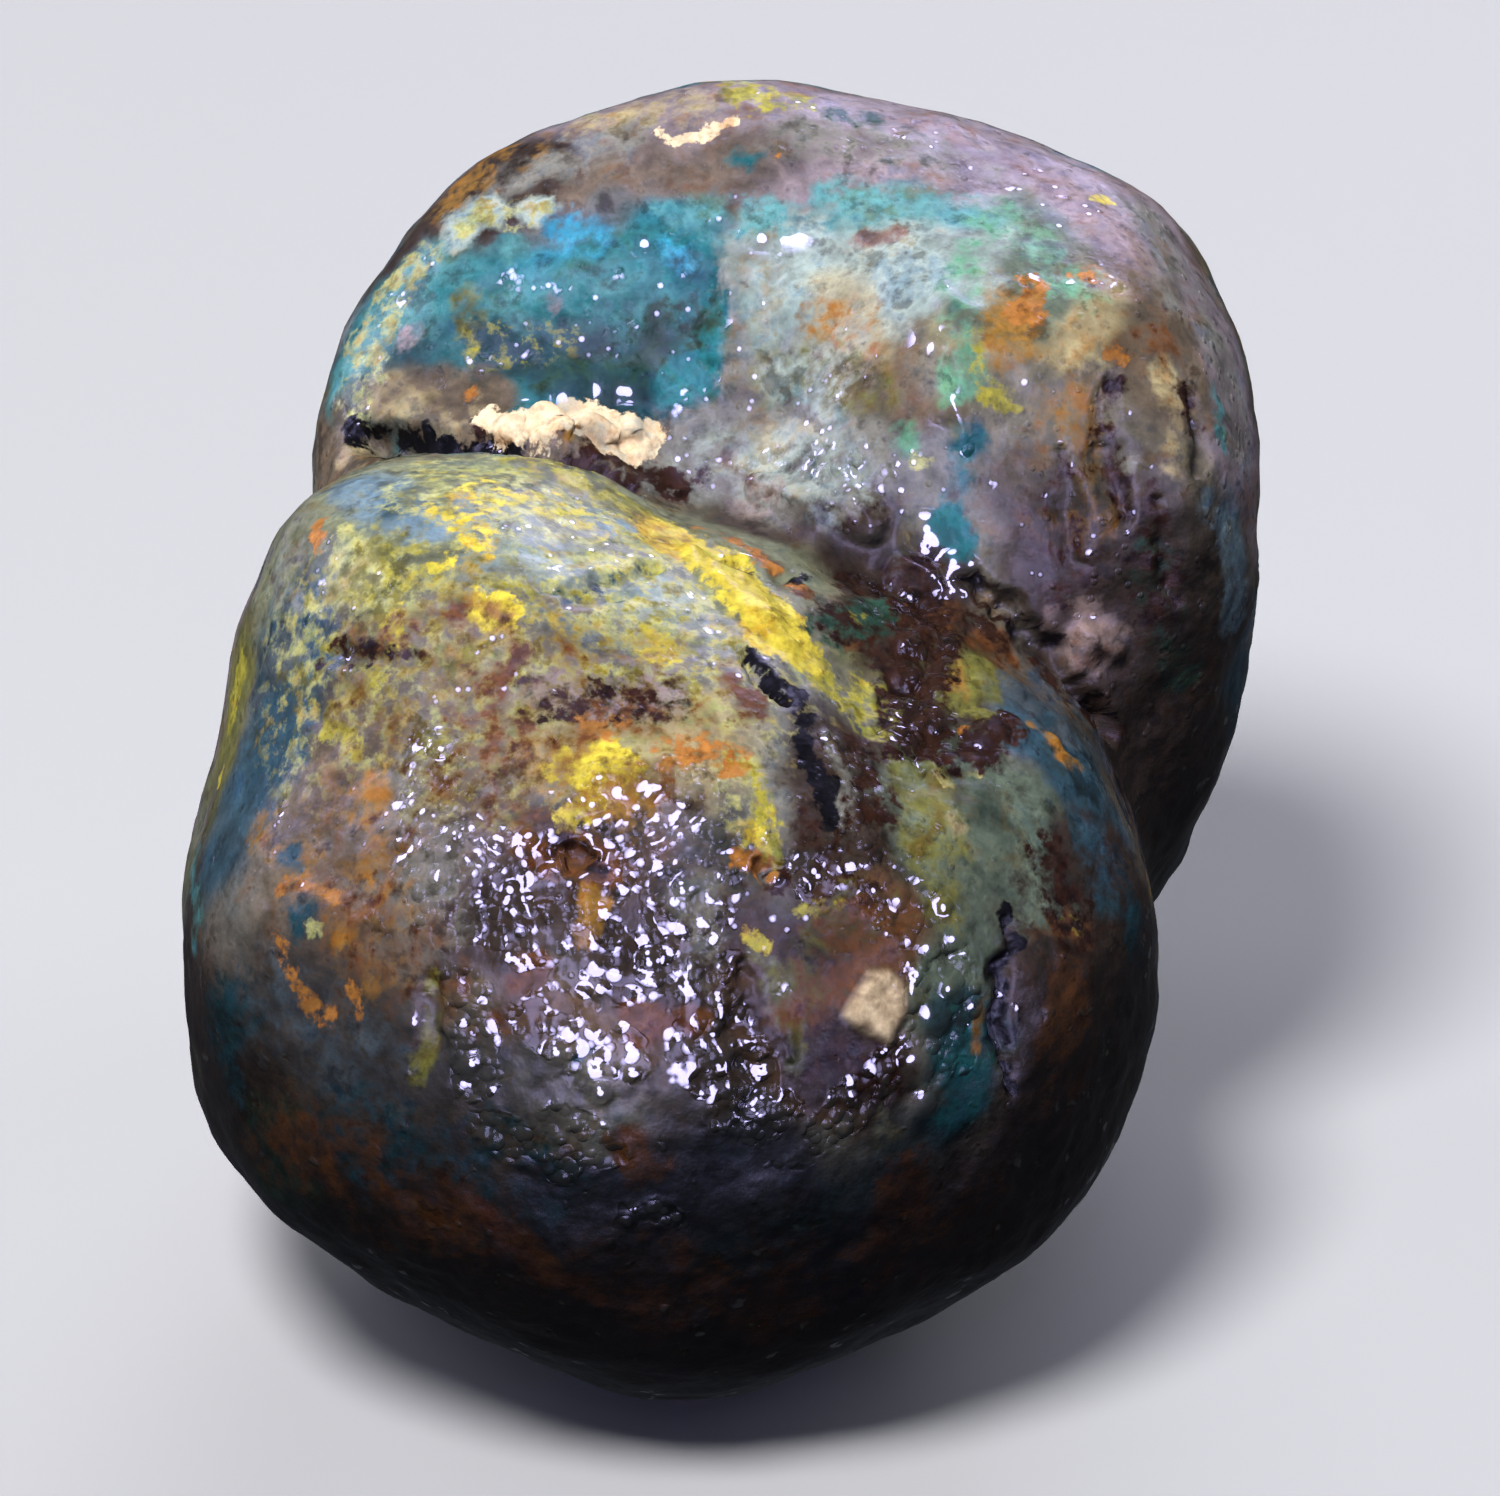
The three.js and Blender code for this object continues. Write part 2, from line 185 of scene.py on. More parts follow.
FLANK_MARKS = (
    ("green-grey flecks", "mint", 1.0, 0.5, [(6.8, 6.2, 25.4), (7.6, 5, 25), (8.6, 3.4, 24.8)]),
    ("brown under the orange", "ochre", 0.9, 1.0, [(7.1, 2.4, 24.2), (7.2, 1.6, 23.7)]),
    ("orange spot", "orange", 0.6, 1.5, [(7.6, 3.1, 24.6), (7.5, 2.6, 24.4)]),
    ("dull orange spot", "orange", 0.5, 0.8, [(9, 4, 24.5)]),
    ("rust of the shoulder", "rust", 1.2, 0.35, [(9.2, 3.8, 24.5), (9.8, 2.6, 24), (10.6, 3, 23.5)]),
    ("sandy spot", "sand", 0.7, 0.6, [(8.6, 1.6, 23.5), (9.3, 1.5, 23.5)]),
    ("red spot", "orange", 0.35, 1.3, [(9.7, 2, 23.5)]),
    ("yellow line", "olive_yellow", 0.3, 0.9, [(6.1, 2, 24), (6.3, 1, 23.3), (7, 0.6, 22.8)]),
    ("rosy streak", "rose", 0.9, 0.9, [(7.8, 8.5, 25.5), (9, 7, 25), (10, 5, 24.5)]),
    ("yellow spot", "yellow", 0.4, 1.4, [(9.5, 7.6, 25)]),
    ("lavender rim", "ash", 1.1, 0.8, [(10.5, 8, 24.5), (11.6, 6, 23.4), (12.6, 4, 22), (13, 3, 20.5)]),
    ("sandy streak", "sand", 0.45, 0.6, [(11, 2, 23), (11, 1.4, 22.3), (11, 1, 21)]),
    ("ochre of the flank", "ochre", 1.6, 0.2, [(8.4, 1, 22.6), (8.8, 0, 20.6)]),
    # Painted shade: the next four darken the flank's grooves.
    ("dark groove", "umber", 0.5, 0.9, [(9.6, 1.5, 23), (9.5, 0.5, 21.7), (9.8, 0, 20.4)]),
    ("second dark groove", "umber", 0.4, 0.9, [(11.6, 2, 22.6), (11.6, 1.4, 21.8)]),
    ("dim streak", "umber", 0.9, 0.6, [(10.4, 0, 20.4), (10.8, -0.4, 17.6)]),
    ("second dim streak", "umber", 0.9, 0.55, [(8.2, 0, 21), (8.4, -0.9, 18.6)]),
    ("grey-green streak", "aqua", 0.4, 0.8, [(12.1, 2.6, 22.2), (12.4, 2, 21)]),
    ("pale spot high", "ash", 0.4, 1.2, [(11, 4.5, 24)]),
    ("pale spot left", "ash", 0.4, 1.0, [(8.5, 0.5, 22)]),
    ("pale spot middle", "ash", 0.45, 1.0, [(10, 0.5, 21.5)]),
    ("blue right edge", "slate_blue", 0.9, 0.8, [(12.5, 1, 20), (13, 1.5, 16.5)]),
    ("green streak down the flank", "green", 0.8, 0.66, [(10.5, -0.5, 19), (11.5, 0, 15.5)]),
    # Partly pink stone and partly a painted highlight on the edge above the crevice.
    ("rosy patch above the crevice", "rose", 0.8, 2.0, [(8.6, -0.8, 17.4), (9.2, -1, 17)]),
    # Painted shade in the crevice.
    ("crevice", "umber", 0.4, 1.2, [
        (6, -1, 18.8), (7, -1.4, 17.8), (8.2, -2, 16.6), (9, -2, 15.8), (10, -1.6, 14.6),
    ]),
)

ROOF_MARKS = (
    ("tan streak", "sand", 0.9, 0.7, [(-3.4, 10.2, 25.8), (-1, 10, 26.4)]),
    ("cream streak", "cream", 0.34, 0.9, [(-1.6, 8.9, 26), (0, 9.2, 26.4)]),
    ("lavender streak", "ash", 0.8, 0.9, [(-5.5, 9, 25), (-2.4, 9.2, 25.8)]),
    ("yellow-green spot", "olive_yellow", 0.8, 0.9, [(0.6, 10, 26.5), (1.8, 10, 26.5)]),
    ("yellow fleck", "yellow", 0.4, 1.0, [(1.2, 9.9, 26.5)]),
    ("green spot", "green", 0.7, 0.8, [(2.6, 9.6, 26.5), (3.5, 9.5, 26.4)]),
    ("pale crown", "straw", 0.6, 0.9, [(0.4, 11, 26.7)]),
    ("teal spot", "teal", 0.7, 1.1, [(0.5, 8, 26)]),
    ("orange dot", "orange", 0.3, 1.2, [(1.5, 8, 26)]),
    ("lavender band", "ash", 1.0, 0.75, [(1.5, 8.6, 26.2), (4, 8.6, 26.2), (6.4, 8.4, 25.8)]),
    ("orange fleck by the block's left", "ochre", 1.0, 0.4, [(-7, 9, 24), (-5, 10, 25)]),
)

LEDGE_MARKS = (
    ("orange spot on the lip", "orange", 0.35, 1.2, [(-6.4, 3.8, 21.6)]),
    ("straw end of the lip", "straw", 0.5, 1.0, [(-9.3, 4.3, 20.6)]),
    ("sandy grains of the lip", "sand", 0.9, 0.3, [(-8.6, 4.4, 21), (-6.4, 3.4, 21.4)]),
    # Painted shadow in the undercut below the lip.
    ("dark under the lip", "soot", 0.55, 1.4, [(-9.3, 4, 20.2), (-7.5, 3, 20.3), (-5.4, 1.8, 20.6)]),
    ("brown end of the lip", "umber", 0.5, 1.2, [(-6, 2.6, 21.2), (-5.4, 2.1, 21.1)]),
    ("cream chips", "cream", 0.78, 1.9, CHIPS_LINE),
    ("orange fleck in the chips", "ochre", 0.3, 1.2, [(-3.8, 2.1, 20.9)]),
    ("brown under the chips", "umber", 0.6, 1.2, [(-4.4, 1.3, 20.7), (-2.5, 1.7, 20.4), (-1, 1.7, 20)]),
    ("pale grains on the roll", "ash", 1.0, 1.1, [(-0.3, 2.1, 20.4), (1.2, 1.5, 20.3), (3.2, 0.4, 20.7)]),
    ("fog on the roll", "fog", 1.2, 0.6, [(-0.3, 2.1, 20.4), (1.2, 1.5, 20.3), (3, 0.5, 20.7)]),
    ("rosy grains on the roll", "rose", 0.8, 0.62, [(0, 2, 20.3), (1, 1.3, 20.1)]),
    ("blue fleck on the roll", "petrol", 0.4, 1.2, [(2, 1, 21)]),
    ("teal drop", "teal", 0.65, 1.8, [(5.4, -0.4, 20.1), (5.7, -0.7, 19.5)]),
    ("dark above the hollow", "umber", 0.6, 0.8, [(3, -1.6, 19), (4.6, -1.4, 18.8), (6.5, -1.8, 17.7)]),
)

LOBE_TOP_MARKS = (
    ("slate blue patch", "slate_blue", 1.2, 1.15, [(-8.8, -1, 21.4), (-8.2, -2.6, 21.8), (-7.6, -3.4, 21.8)]),
    ("deeper blue", "deep_blue", 0.6, 0.9, [(-7.8, -2, 22), (-8, -3, 22)]),
    ("pale left shoulder", "ash", 1.1, 0.5, [(-10.6, -1, 20.4), (-10.6, -3, 19.8), (-10.8, -5, 19)]),
    ("peach spot", "sand", 0.6, 0.9, [(-9.4, 3.4, 20.3), (-9.2, 2.4, 20.7)]),
    ("orange spot", "orange", 0.4, 1.2, [(-10, -2.4, 21), (-9.8, -3, 20.9)]),
    ("yellow-green by the orange", "straw", 0.6, 0.95, [(-9.4, -3.4, 21.2), (-9, -3.9, 21)]),
    ("gold flecks, left", "yellow", 0.7, 0.7, [(-7, -3, 22), (-6.4, -3.6, 21.8), (-6, -4.5, 21.5)]),
    ("gold flecks, lower", "yellow", 0.45, 1.0, [(-7, -5, 21.5)]),
    ("gold flecks by the crease", "yellow", 0.9, 0.42, [
        (-6, -2.6, 22), (-4, -1.6, 21.5), (-3.4, -2.4, 21.3),
    ]),
    ("gold flecks over the top", "yellow", 2.4, 0.2, [
        (-6.4, -2, 21.8), (-3.6, -2.4, 21.4), (-1.8, -3, 20.8),
    ]),
    ("straw flecks over the top", "straw", 3.0, 0.42, [(-6.5, -1.5, 21.8), (-4, -3, 21.5), (-2, -4.6, 20.8)]),
    ("fine gold over the lobe", "olive_yellow", 4.5, 0.24, [(-8, -6, 20), (-4, -8, 19.6), (-2, -6, 20)]),
    ("fine olive over the lobe", "straw", 4.4, 0.34, [(-9, -6.4, 19.4), (-5, -8, 19.6), (-1, -7, 19.4)]),
    ("brown clouds over the lobe", "rust", 4.0, 0.4, [(-7, -8, 19), (-3, -9, 19)]),
    ("olive-yellow crease", "olive_yellow", 0.8, 0.55, [(-5, 0, 21.3), (-3, -0.4, 21), (-1.8, -1, 20.7)]),
    ("pale green fleck", "straw", 0.4, 1.3, [(-6.7, -4.6, 21.6)]),
    ("pale blue flecks", "slate_blue", 0.6, 0.95, [(-3.2, -1.6, 21.2), (-2.8, -2.4, 21)]),
    ("grey-blue flecks", "slate_blue", 1.1, 0.66, [(-1.6, -4.8, 20.6), (-1.2, -6.2, 20.2)]),
    ("blue flecks over the top", "slate_blue", 2.2, 0.3, [(-7, -3, 21.6), (-4, -5, 21.4), (-2, -6, 20.6)]),
    ("yellow tongue", "yellow", 1.1, 2.0, [
        (-1.4, -1.8, 20.7), (-0.2, -3, 20.2), (0.8, -4.4, 20), (1.6, -5.4, 19.4),
    ]),
    ("olive start of the tongue", "olive", 0.9, 1.1, [
        (-2.6, -0.6, 20.9), (-1.4, -1.4, 20.6), (-0.2, -1.9, 20.2),
    ]),
    ("olive foot of the tongue", "olive_yellow", 0.8, 1.5, [(2, -5.4, 19.3), (2.5, -6.2, 18.8)]),
    ("pale foot of the tongue", "straw", 0.4, 1.3, [(2.2, -5.6, 19)]),
    ("olive patch", "olive", 1.3, 1.7, [(-8.6, -4.6, 21), (-8.4, -6, 20.4)]),
    ("green heart of the patch", "green", 0.6, 0.9, [(-8.5, -6, 20.3)]),
    ("gold rim of the patch", "yellow", 0.4, 1.0, [(-7.7, -5.8, 20.8), (-7.9, -6.8, 20.3)]),
    ("olive below the patch", "olive_yellow", 0.7, 0.8, [(-8.8, -7, 19.6)]),
    ("brown rim of the eye", "rust", 0.4, 1.0, [(-6.6, -6.3, 20.8), (-6.2, -6.9, 20.6)]),
    ("ochre eye", "ochre", 0.6, 1.2, [(-6, -6.3, 21), (-5.6, -6.5, 20.9)]),
    ("gold of the eye", "yellow", 0.8, 2.0, [(-5.9, -6.4, 21), (-5.4, -6.4, 21)]),
    ("bright fleck by the eye", "straw", 0.35, 1.5, [(-5, -6.5, 20.7)]),
    ("red-brown spot", "rust", 0.55, 1.0, [(-5, -7.4, 20.2), (-5.2, -8, 19.8)]),
    ("gold cluster", "yellow", 0.5, 1.1, [(-2, -6.4, 20.2), (-1.6, -7, 20)]),
    ("gold cluster, left", "yellow", 0.4, 1.0, [(-3, -7, 20)]),
    ("green cast round the cluster", "straw", 1.0, 0.7, [(-3, -6.6, 20.3), (-1.4, -6.6, 20)]),
    ("blue-green line", "petrol", 0.2, 1.3, FRACTURE),
    ("second blue-green line", "petrol", 0.2, 1.2, SECOND_FRACTURE),
    ("dark patch", "umber", 0.8, 0.75, [(-4.2, -8.4, 19.6), (-1.6, -8.4, 19.6)]),
    ("mauve cast", "mauve", 1.2, 0.9, [(-3.6, -8, 19.8), (-1.5, -8.2, 19.6)]),
    ("olive-brown streak", "olive", 0.6, 0.9, [(-7, -7.2, 20), (-5.8, -7.6, 20)]),
    ("gold edge", "olive_yellow", 0.6, 1.0, [(-12, -2.4, 17.2), (-12.2, -3, 16)]),
    ("gold edge, lower", "yellow", 0.35, 1.0, [(-12.5, -4, 15)]),
    ("left edge, slate", "slate", 0.8, 0.9, [(-11, -4, 19), (-11.5, -4.5, 17.5)]),
    ("left side, deep blue", "deep_blue", 1.3, 1.2, [(-10.8, -6, 18.2), (-11.3, -6.8, 16.6)]),
    ("gold spots of the left side", "olive_yellow", 0.45, 1.1, [(-10, -7.4, 18), (-9, -8, 18)]),
    ("lavender middle", "ash", 2.0, 0.6, [(-6.5, -8.2, 19.5), (-8, -9, 18.2)]),
    ("brown line", "umber", 0.3, 0.9, BROWN_LINE),
    ("orange flecks above the blaze", "orange", 0.5, 0.85, [(-3.4, -8.9, 19.4), (-2.4, -9.1, 19.2)]),
    ("yellow blaze", "yellow", 0.85, 1.3, [(-3.5, -10, 18.7), (-2.6, -10, 18.8), (-3, -10.6, 18.4)]),
    ("tail of the blaze", "yellow", 0.5, 1.15, [(-3.2, -11, 18.1), (-3.8, -11.5, 17.8)]),
    ("ochre round the blaze", "ochre", 1.3, 0.75, [(-4, -10, 18.7), (-2.4, -10.8, 18.2)]),
    ("orange right of the blaze", "orange", 0.75, 0.95, [(-1, -9.9, 19), (0, -9.6, 18.9)]),
    ("tan right of the blaze", "sand", 0.9, 0.9, [(-1.6, -9.4, 19.1), (-0.6, -8.6, 19.3)]),
)

HOLLOW_MARKS = (
    ("orange rim of the tongue", "orange", 0.3, 1.2, [
        (-0.6, -0.9, 20.4), (0.5, -1.4, 20.2), (1.6, -2.6, 19.8),
    ]),
    ("rust rim of the tongue", "rust", 0.4, 1.2, [(0.9, -1.8, 20), (1.8, -3, 19.6)]),
    # Painted shade in the two holes.
    ("hole in the tongue", "umber", 0.4, 1.8, TONGUE_HOLE),
    ("second hole", "soot", 0.35, 1.6, SECOND_HOLE),
    ("rust band above the fissure", "rust", 0.5, 1.2, [(0.2, -7.4, 19.6), (0.7, -8.6, 19.2)]),
    # Painted shade in the crack and the fissure.
    ("crack above the fissure", "soot", 0.3, 1.9, UPPER_CRACK),
    ("inside of the fissure", "soot", 0.34, 1.9, [(1.6, -7.4, 19), (2, -9, 18.2), (2.5, -10.5, 17.4)]),
    ("pale right lip", "ash", 0.35, 1.1, [(2.6, -8.4, 18.6), (2.9, -9.8, 18), (3, -10.6, 17.4)]),
    ("dark right of the lip", "umber", 0.9, 0.8, [(3.4, -8.2, 18), (3.4, -10, 17.2)]),
    ("grey-brown below the fissure", "umber", 1.2, 0.55, [(2.6, -10.8, 17.2), (3.2, -11.6, 16.4)]),
    ("olive left lip", "olive_yellow", 0.5, 0.8, [(0.3, -9.9, 18.5), (1, -11, 17.7), (0.9, -11.7, 17.2)]),
    ("gold of the left lip", "yellow", 0.35, 0.6, [(1, -10.8, 17.9), (0.9, -11.5, 17.4)]),
    ("haze left of the lip", "straw", 0.7, 0.55, [(0.2, -9.8, 18.6), (0.2, -11, 17.8)]),
    ("orange rim of the pit", "orange", 0.5, 1.5, [(0.7, -11.9, 17.1)]),
    # Painted shade in the pit.
    ("pit", "umber", 0.4, 2.0, PIT),
    ("green glass", "green", 1.0, 0.95, [(2.7, -4, 19.2), (3.4, -3, 18.8), (4, -2.6, 18.6)]),
    ("brown in the glass", "umber", 0.9, 0.7, [(2.6, -3.6, 19.2), (3.6, -4, 18.6)]),
    ("olive glint at the glass", "olive_yellow", 0.35, 1.0, [(3.2, -3.4, 18.9)]),
    ("rust at the green glass", "rust", 0.35, 1.2, [(3, -4.2, 18.6)]),
    ("olive below the glass", "olive_yellow", 0.9, 0.66, [(3.5, -5.4, 18.2), (3.4, -6.6, 18)]),
    ("brown crust", "umber", 1.2, 1.4, [
        (4.6, -1.4, 18.9), (5, -2.6, 18.3), (4.6, -5, 17.9), (4.4, -7, 17.4),
    ]),
    ("brown crust, right arm", "umber", 0.7, 1.3, [(5, -7.4, 17.2), (6.2, -6.8, 17.2), (6.8, -5.6, 17.2)]),
    ("rust in the crust", "rust", 0.9, 0.9, [(4.8, -2.4, 18.4), (5.6, -2, 18), (6.6, -2.2, 17.5)]),
    ("ochre in the crust", "ochre", 0.6, 0.8, [(5.4, -2.8, 18), (5.6, -4.4, 17.7)]),
    ("olive in the crust", "olive", 0.9, 0.95, [(5.9, -3.4, 17.7), (6, -4.8, 17.5)]),
    ("orange in the crust", "orange", 0.35, 1.4, [(6, -6, 17.4)]),
    ("yellow chip", "straw", 0.35, 1.5, [(5.3, -7.8, 17), (5.8, -7.5, 17)]),
    ("dim right of the crust", "slate", 0.9, 0.9, [(7, -4, 17.4), (8, -4.5, 16.5)]),
    ("dark below the crevice", "slate", 1.1, 0.9, [(8, -3, 16.4), (9.6, -3, 14.6)]),
    ("blue right shoulder", "deep_blue", 1.2, 0.9, [(8, -6, 16.4), (9, -6.2, 15.4), (9.5, -7.5, 14)]),
    ("gold flecks of the shoulder", "ochre", 0.28, 0.5, [(7.6, -5.2, 17), (8.8, -5.6, 16)]),
    ("sea-green panel", "sea", 1.7, 1.0, [(5, -9, 17), (6.4, -8.8, 16), (7.2, -9, 15)]),
    ("haze of the panel", "haze", 1.0, 0.6, [(5, -8.8, 17), (6.4, -9.4, 15.4)]),
    ("sandy spot on the panel", "sand", 0.5, 1.1, [(5.5, -9, 16.6)]),
    ("dim right of the panel", "umber", 0.9, 0.8, [(8, -8.2, 15), (8.2, -9, 13.6)]),
    ("olive streaks of the panel", "olive", 1.2, 0.66, [(4.6, -8.4, 17.2), (5.4, -10.6, 15.6)]),
)

LOBE_LOW_MARKS = (
    ("rust of the chip's halo", "rust", 1.2, 0.8, [(3.8, -12, 15.2), (2.4, -12.8, 15), (2, -13.4, 13.8)]),
    ("ochre of the halo", "olive", 1.1, 0.6, [(3.2, -12, 15.6), (2, -13, 14.4)]),
    ("brown below the chip", "umber", 1.0, 1.1, [(2.6, -13.8, 12.6), (3.8, -13.5, 12)]),
    ("gold left of the halo", "yellow", 0.35, 1.1, [(0.9, -12.8, 15.6)]),
    ("yellow-green above the halo", "olive_yellow", 0.4, 0.9, [(2.2, -12.2, 16.1), (2.8, -12, 16)]),
    ("pale seam", "haze", 0.4, 0.9, SEAM),
    ("olive of the seam", "olive", 0.35, 0.7, SEAM),
    ("deep teal right of the chip", "teal", 1.1, 0.7, [(5.9, -12.2, 12.2), (5.5, -12.8, 10.8)]),
    ("pale olive fleck", "haze", 0.35, 1.0, [(3.9, -13.5, 11), (3.7, -13.6, 10.4)]),
    ("peach left of the crack", "ochre", 0.3, 0.7, [(6.3, -11.8, 12.7), (6.1, -12, 11.8)]),
    # Painted shade in the right crack.
    ("right crack", "soot", 0.25, 1.5, RIGHT_CRACK),
    ("rust of the right side", "rust", 1.3, 0.6, [(8, -9.6, 13.4), (8.3, -10.4, 12), (8.5, -10.6, 10)]),
    ("gold spot", "yellow", 0.35, 1.2, [(8.4, -9, 13.6)]),
    ("blue-green right edge", "petrol", 0.8, 0.8, [(9.8, -7.4, 13.5), (10, -7.2, 12)]),
    ("rust, low right", "rust", 0.8, 0.95, [(4.4, -13.4, 9.2), (4.2, -13.4, 7.2)]),
    ("lavender haze", "ash", 0.8, 0.4, [(-0.6, -12.6, 16.4), (-0.4, -13.6, 15)]),
    ("rust streak", "rust", 0.5, 1.2, [(-0.6, -14, 14), (-2.2, -14, 14)]),
    ("rust fleck, low", "rust", 0.75, 0.8, [(-2.3, -14.9, 11), (-2, -15, 10.4)]),
    ("rust band", "rust", 0.55, 1.5, [
        (-6.6, -14.2, 9.2), (-5.2, -14.5, 8), (-3.8, -14.5, 7), (-3, -14.5, 6.4),
    ]),
    ("rust halo of the hole", "rust", 0.9, 1.0, [(-4.4, -11.9, 17.7), (-3, -12.2, 17.2)]),
    # Painted shade in the hole.
    ("hole", "umber", 0.5, 1.6, LOBE_HOLE),
    ("ochre below the hole", "ochre", 0.5, 1.1, [(-3.2, -12.9, 16.6), (-3.4, -13.2, 16)]),
    ("pale left rim", "aqua", 0.6, 0.9, [(-12.9, -5.5, 13), (-12.8, -7.5, 12.4)]),
    ("tan, upper left", "ochre", 1.2, 0.42, [(-11, -8.5, 16), (-10.4, -9.5, 16.2)]),
    ("rust over the left", "rust", 2.0, 0.5, [(-8.8, -10.4, 16.6), (-8.6, -11.8, 15), (-8, -12.8, 14.4)]),
    ("ochre over the left", "ochre", 2.0, 0.32, [(-9.4, -9.6, 17), (-8.6, -11.8, 15)]),
    ("lavender over the left", "ash", 2.2, 0.55, [(-8.6, -9.6, 17.6), (-7.6, -11.6, 16)]),
    ("blue window, left", "deep_blue", 0.55, 1.3, [(-10.5, -9.3, 15.7)]),
    ("teal window, left", "petrol", 0.6, 1.3, [(-10.3, -10.7, 14.6)]),
    ("gold drop, left", "straw", 0.3, 1.6, [(-10, -10.9, 14.5)]),
    ("orange streak, upper", "orange", 0.3, 0.8, [(-10.7, -9.9, 15.1), (-9.6, -10.6, 15.4)]),
    ("orange streak, lower", "orange", 0.35, 0.75, [(-11, -10.4, 14), (-10.4, -11.2, 13.5), (-9.6, -12, 13)]),
    ("orange streak, right", "orange", 0.3, 0.75, [(-9, -12, 13.6), (-8.9, -12.5, 13)]),
    ("slate of the plum", "slate", 1.8, 0.5, [(-11, -10.8, 12.6), (-8.6, -13, 12)]),
    ("olive line", "olive", 0.35, 0.9, OLIVE_LINE),
    ("rust spots", "rust", 0.5, 0.9, [(-5.4, -13.8, 14), (-4.6, -13.6, 15)]),
    ("petrol fleck", "petrol", 0.35, 1.4, [(-3.4, -14.2, 13.2)]),
    ("petrol over the low left", "petrol", 1.8, 0.5, [(-9, -12.8, 10), (-5, -14.4, 10)]),
    ("rust over the low left", "rust", 2.4, 0.42, [(-11, -11, 9), (-7, -13.6, 8)]),
    ("teal, low left edge", "petrol", 1.2, 0.7, [(-12, -10, 12), (-12.2, -9.6, 10)]),
    ("green, low left", "green", 1.6, 0.8, [(-11, -11.6, 9), (-11, -11, 7)]),
    ("rust over the foot", "rust", 2.6, 0.42, [(-2, -14.4, 6.6), (2, -14, 6), (5, -12.4, 7)]),
)

MARKS = (
    WINDOW_MARKS + FLANK_MARKS + ROOF_MARKS + LEDGE_MARKS + LOBE_TOP_MARKS + HOLLOW_MARKS
    + LOBE_LOW_MARKS
)

# Where water still beads on a granular skin: radius, strength, points.
WET_MARKS = (
    (1.3, 1.2, [(-7, -10.5, 17.5), (-6.4, -11.5, 17), (-4.6, -12.2, 17)]),
    (1.3, 1.2, [(-6.6, -12.2, 16.2), (-4.6, -13, 16)]),
    (0.9, 1.0, [(-7, -9, 18.5), (-7.4, -10.4, 17.6), (-7.4, -11.6, 16.6)]),
    (1.2, 1.0, [(-2.6, -10.6, 18.3), (-0.8, -10.8, 18.2), (-0.2, -12, 17.2)]),
    (1.4, 1.2, [(-2.4, -11.6, 17.9), (-1.2, -12, 17.4), (-1, -13, 16)]),
    (1.0, 1.0, [(-6.6, -11.6, 16.8), (-5.6, -12.8, 16), (-3, -12.8, 16.4)]),
    (1.2, 1.0, [(-0.6, -13.6, 15), (0.2, -14.4, 13), (0.8, -14.6, 12)]),
    (0.7, 1.0, [(-4.2, -14.6, 11.6), (-2.8, -14.9, 10.8)]),
    (0.9, 1.0, [(4.4, -11, 16.2), (5.4, -11.4, 15.2), (5.8, -12, 13.8), (5, -13, 12)]),
    (1.2, 1.1, [(-3.2, -13.4, 15), (-1.8, -13.5, 15.4)]),
    (0.8, 1.0, [(-6.2, -13.4, 14.4), (-6, -14, 12.5)]),
    (0.9, 1.0, [(-4.5, -14, 14), (-3, -14.4, 13), (-2.4, -14.4, 13.2)]),
    (0.8, 0.9, [(-5.5, -14.4, 11), (-4, -14.8, 10.5)]),
    (1.0, 0.8, [(-0.6, -14.2, 13.6), (0.2, -14.7, 12)]),
    (0.6, 0.8, [(-2.2, -15, 9), (-1.5, -15, 9)]),
    (1.2, 1.1, [(4, -11.2, 16), (5.2, -11.7, 15), (5.6, -12.2, 13.6), (4.8, -12.8, 12.4)]),
    (0.8, 0.9, [(3.6, -13.4, 12), (2.4, -14, 11)]),
    (1.1, 0.9, [(3.6, -2, 19), (5, -2.4, 18.4), (5, -5, 17.8), (4.6, -7, 17.4)]),
    (1.0, 0.9, [(3, -8.6, 18.2), (3.3, -10.6, 17.2), (2.4, -11.8, 16.8)]),
    (1.0, 0.45, [(1, 1.5, 20.5), (2.2, 1, 20.7), (3.4, 0.4, 20.8)]),
    (1.6, 1.0, [(-6, 13, 18), (-3.4, 14, 16)]),
    (1.3, 0.9, [(6, 13, 20), (7.4, 12.6, 17)]),
    (1.3, 0.9, [(-13, 2, 15), (-13, 4.6, 12.6)]),
    (1.3, 0.9, [(13.4, 3.6, 16), (13, 6, 13.6)]),
)

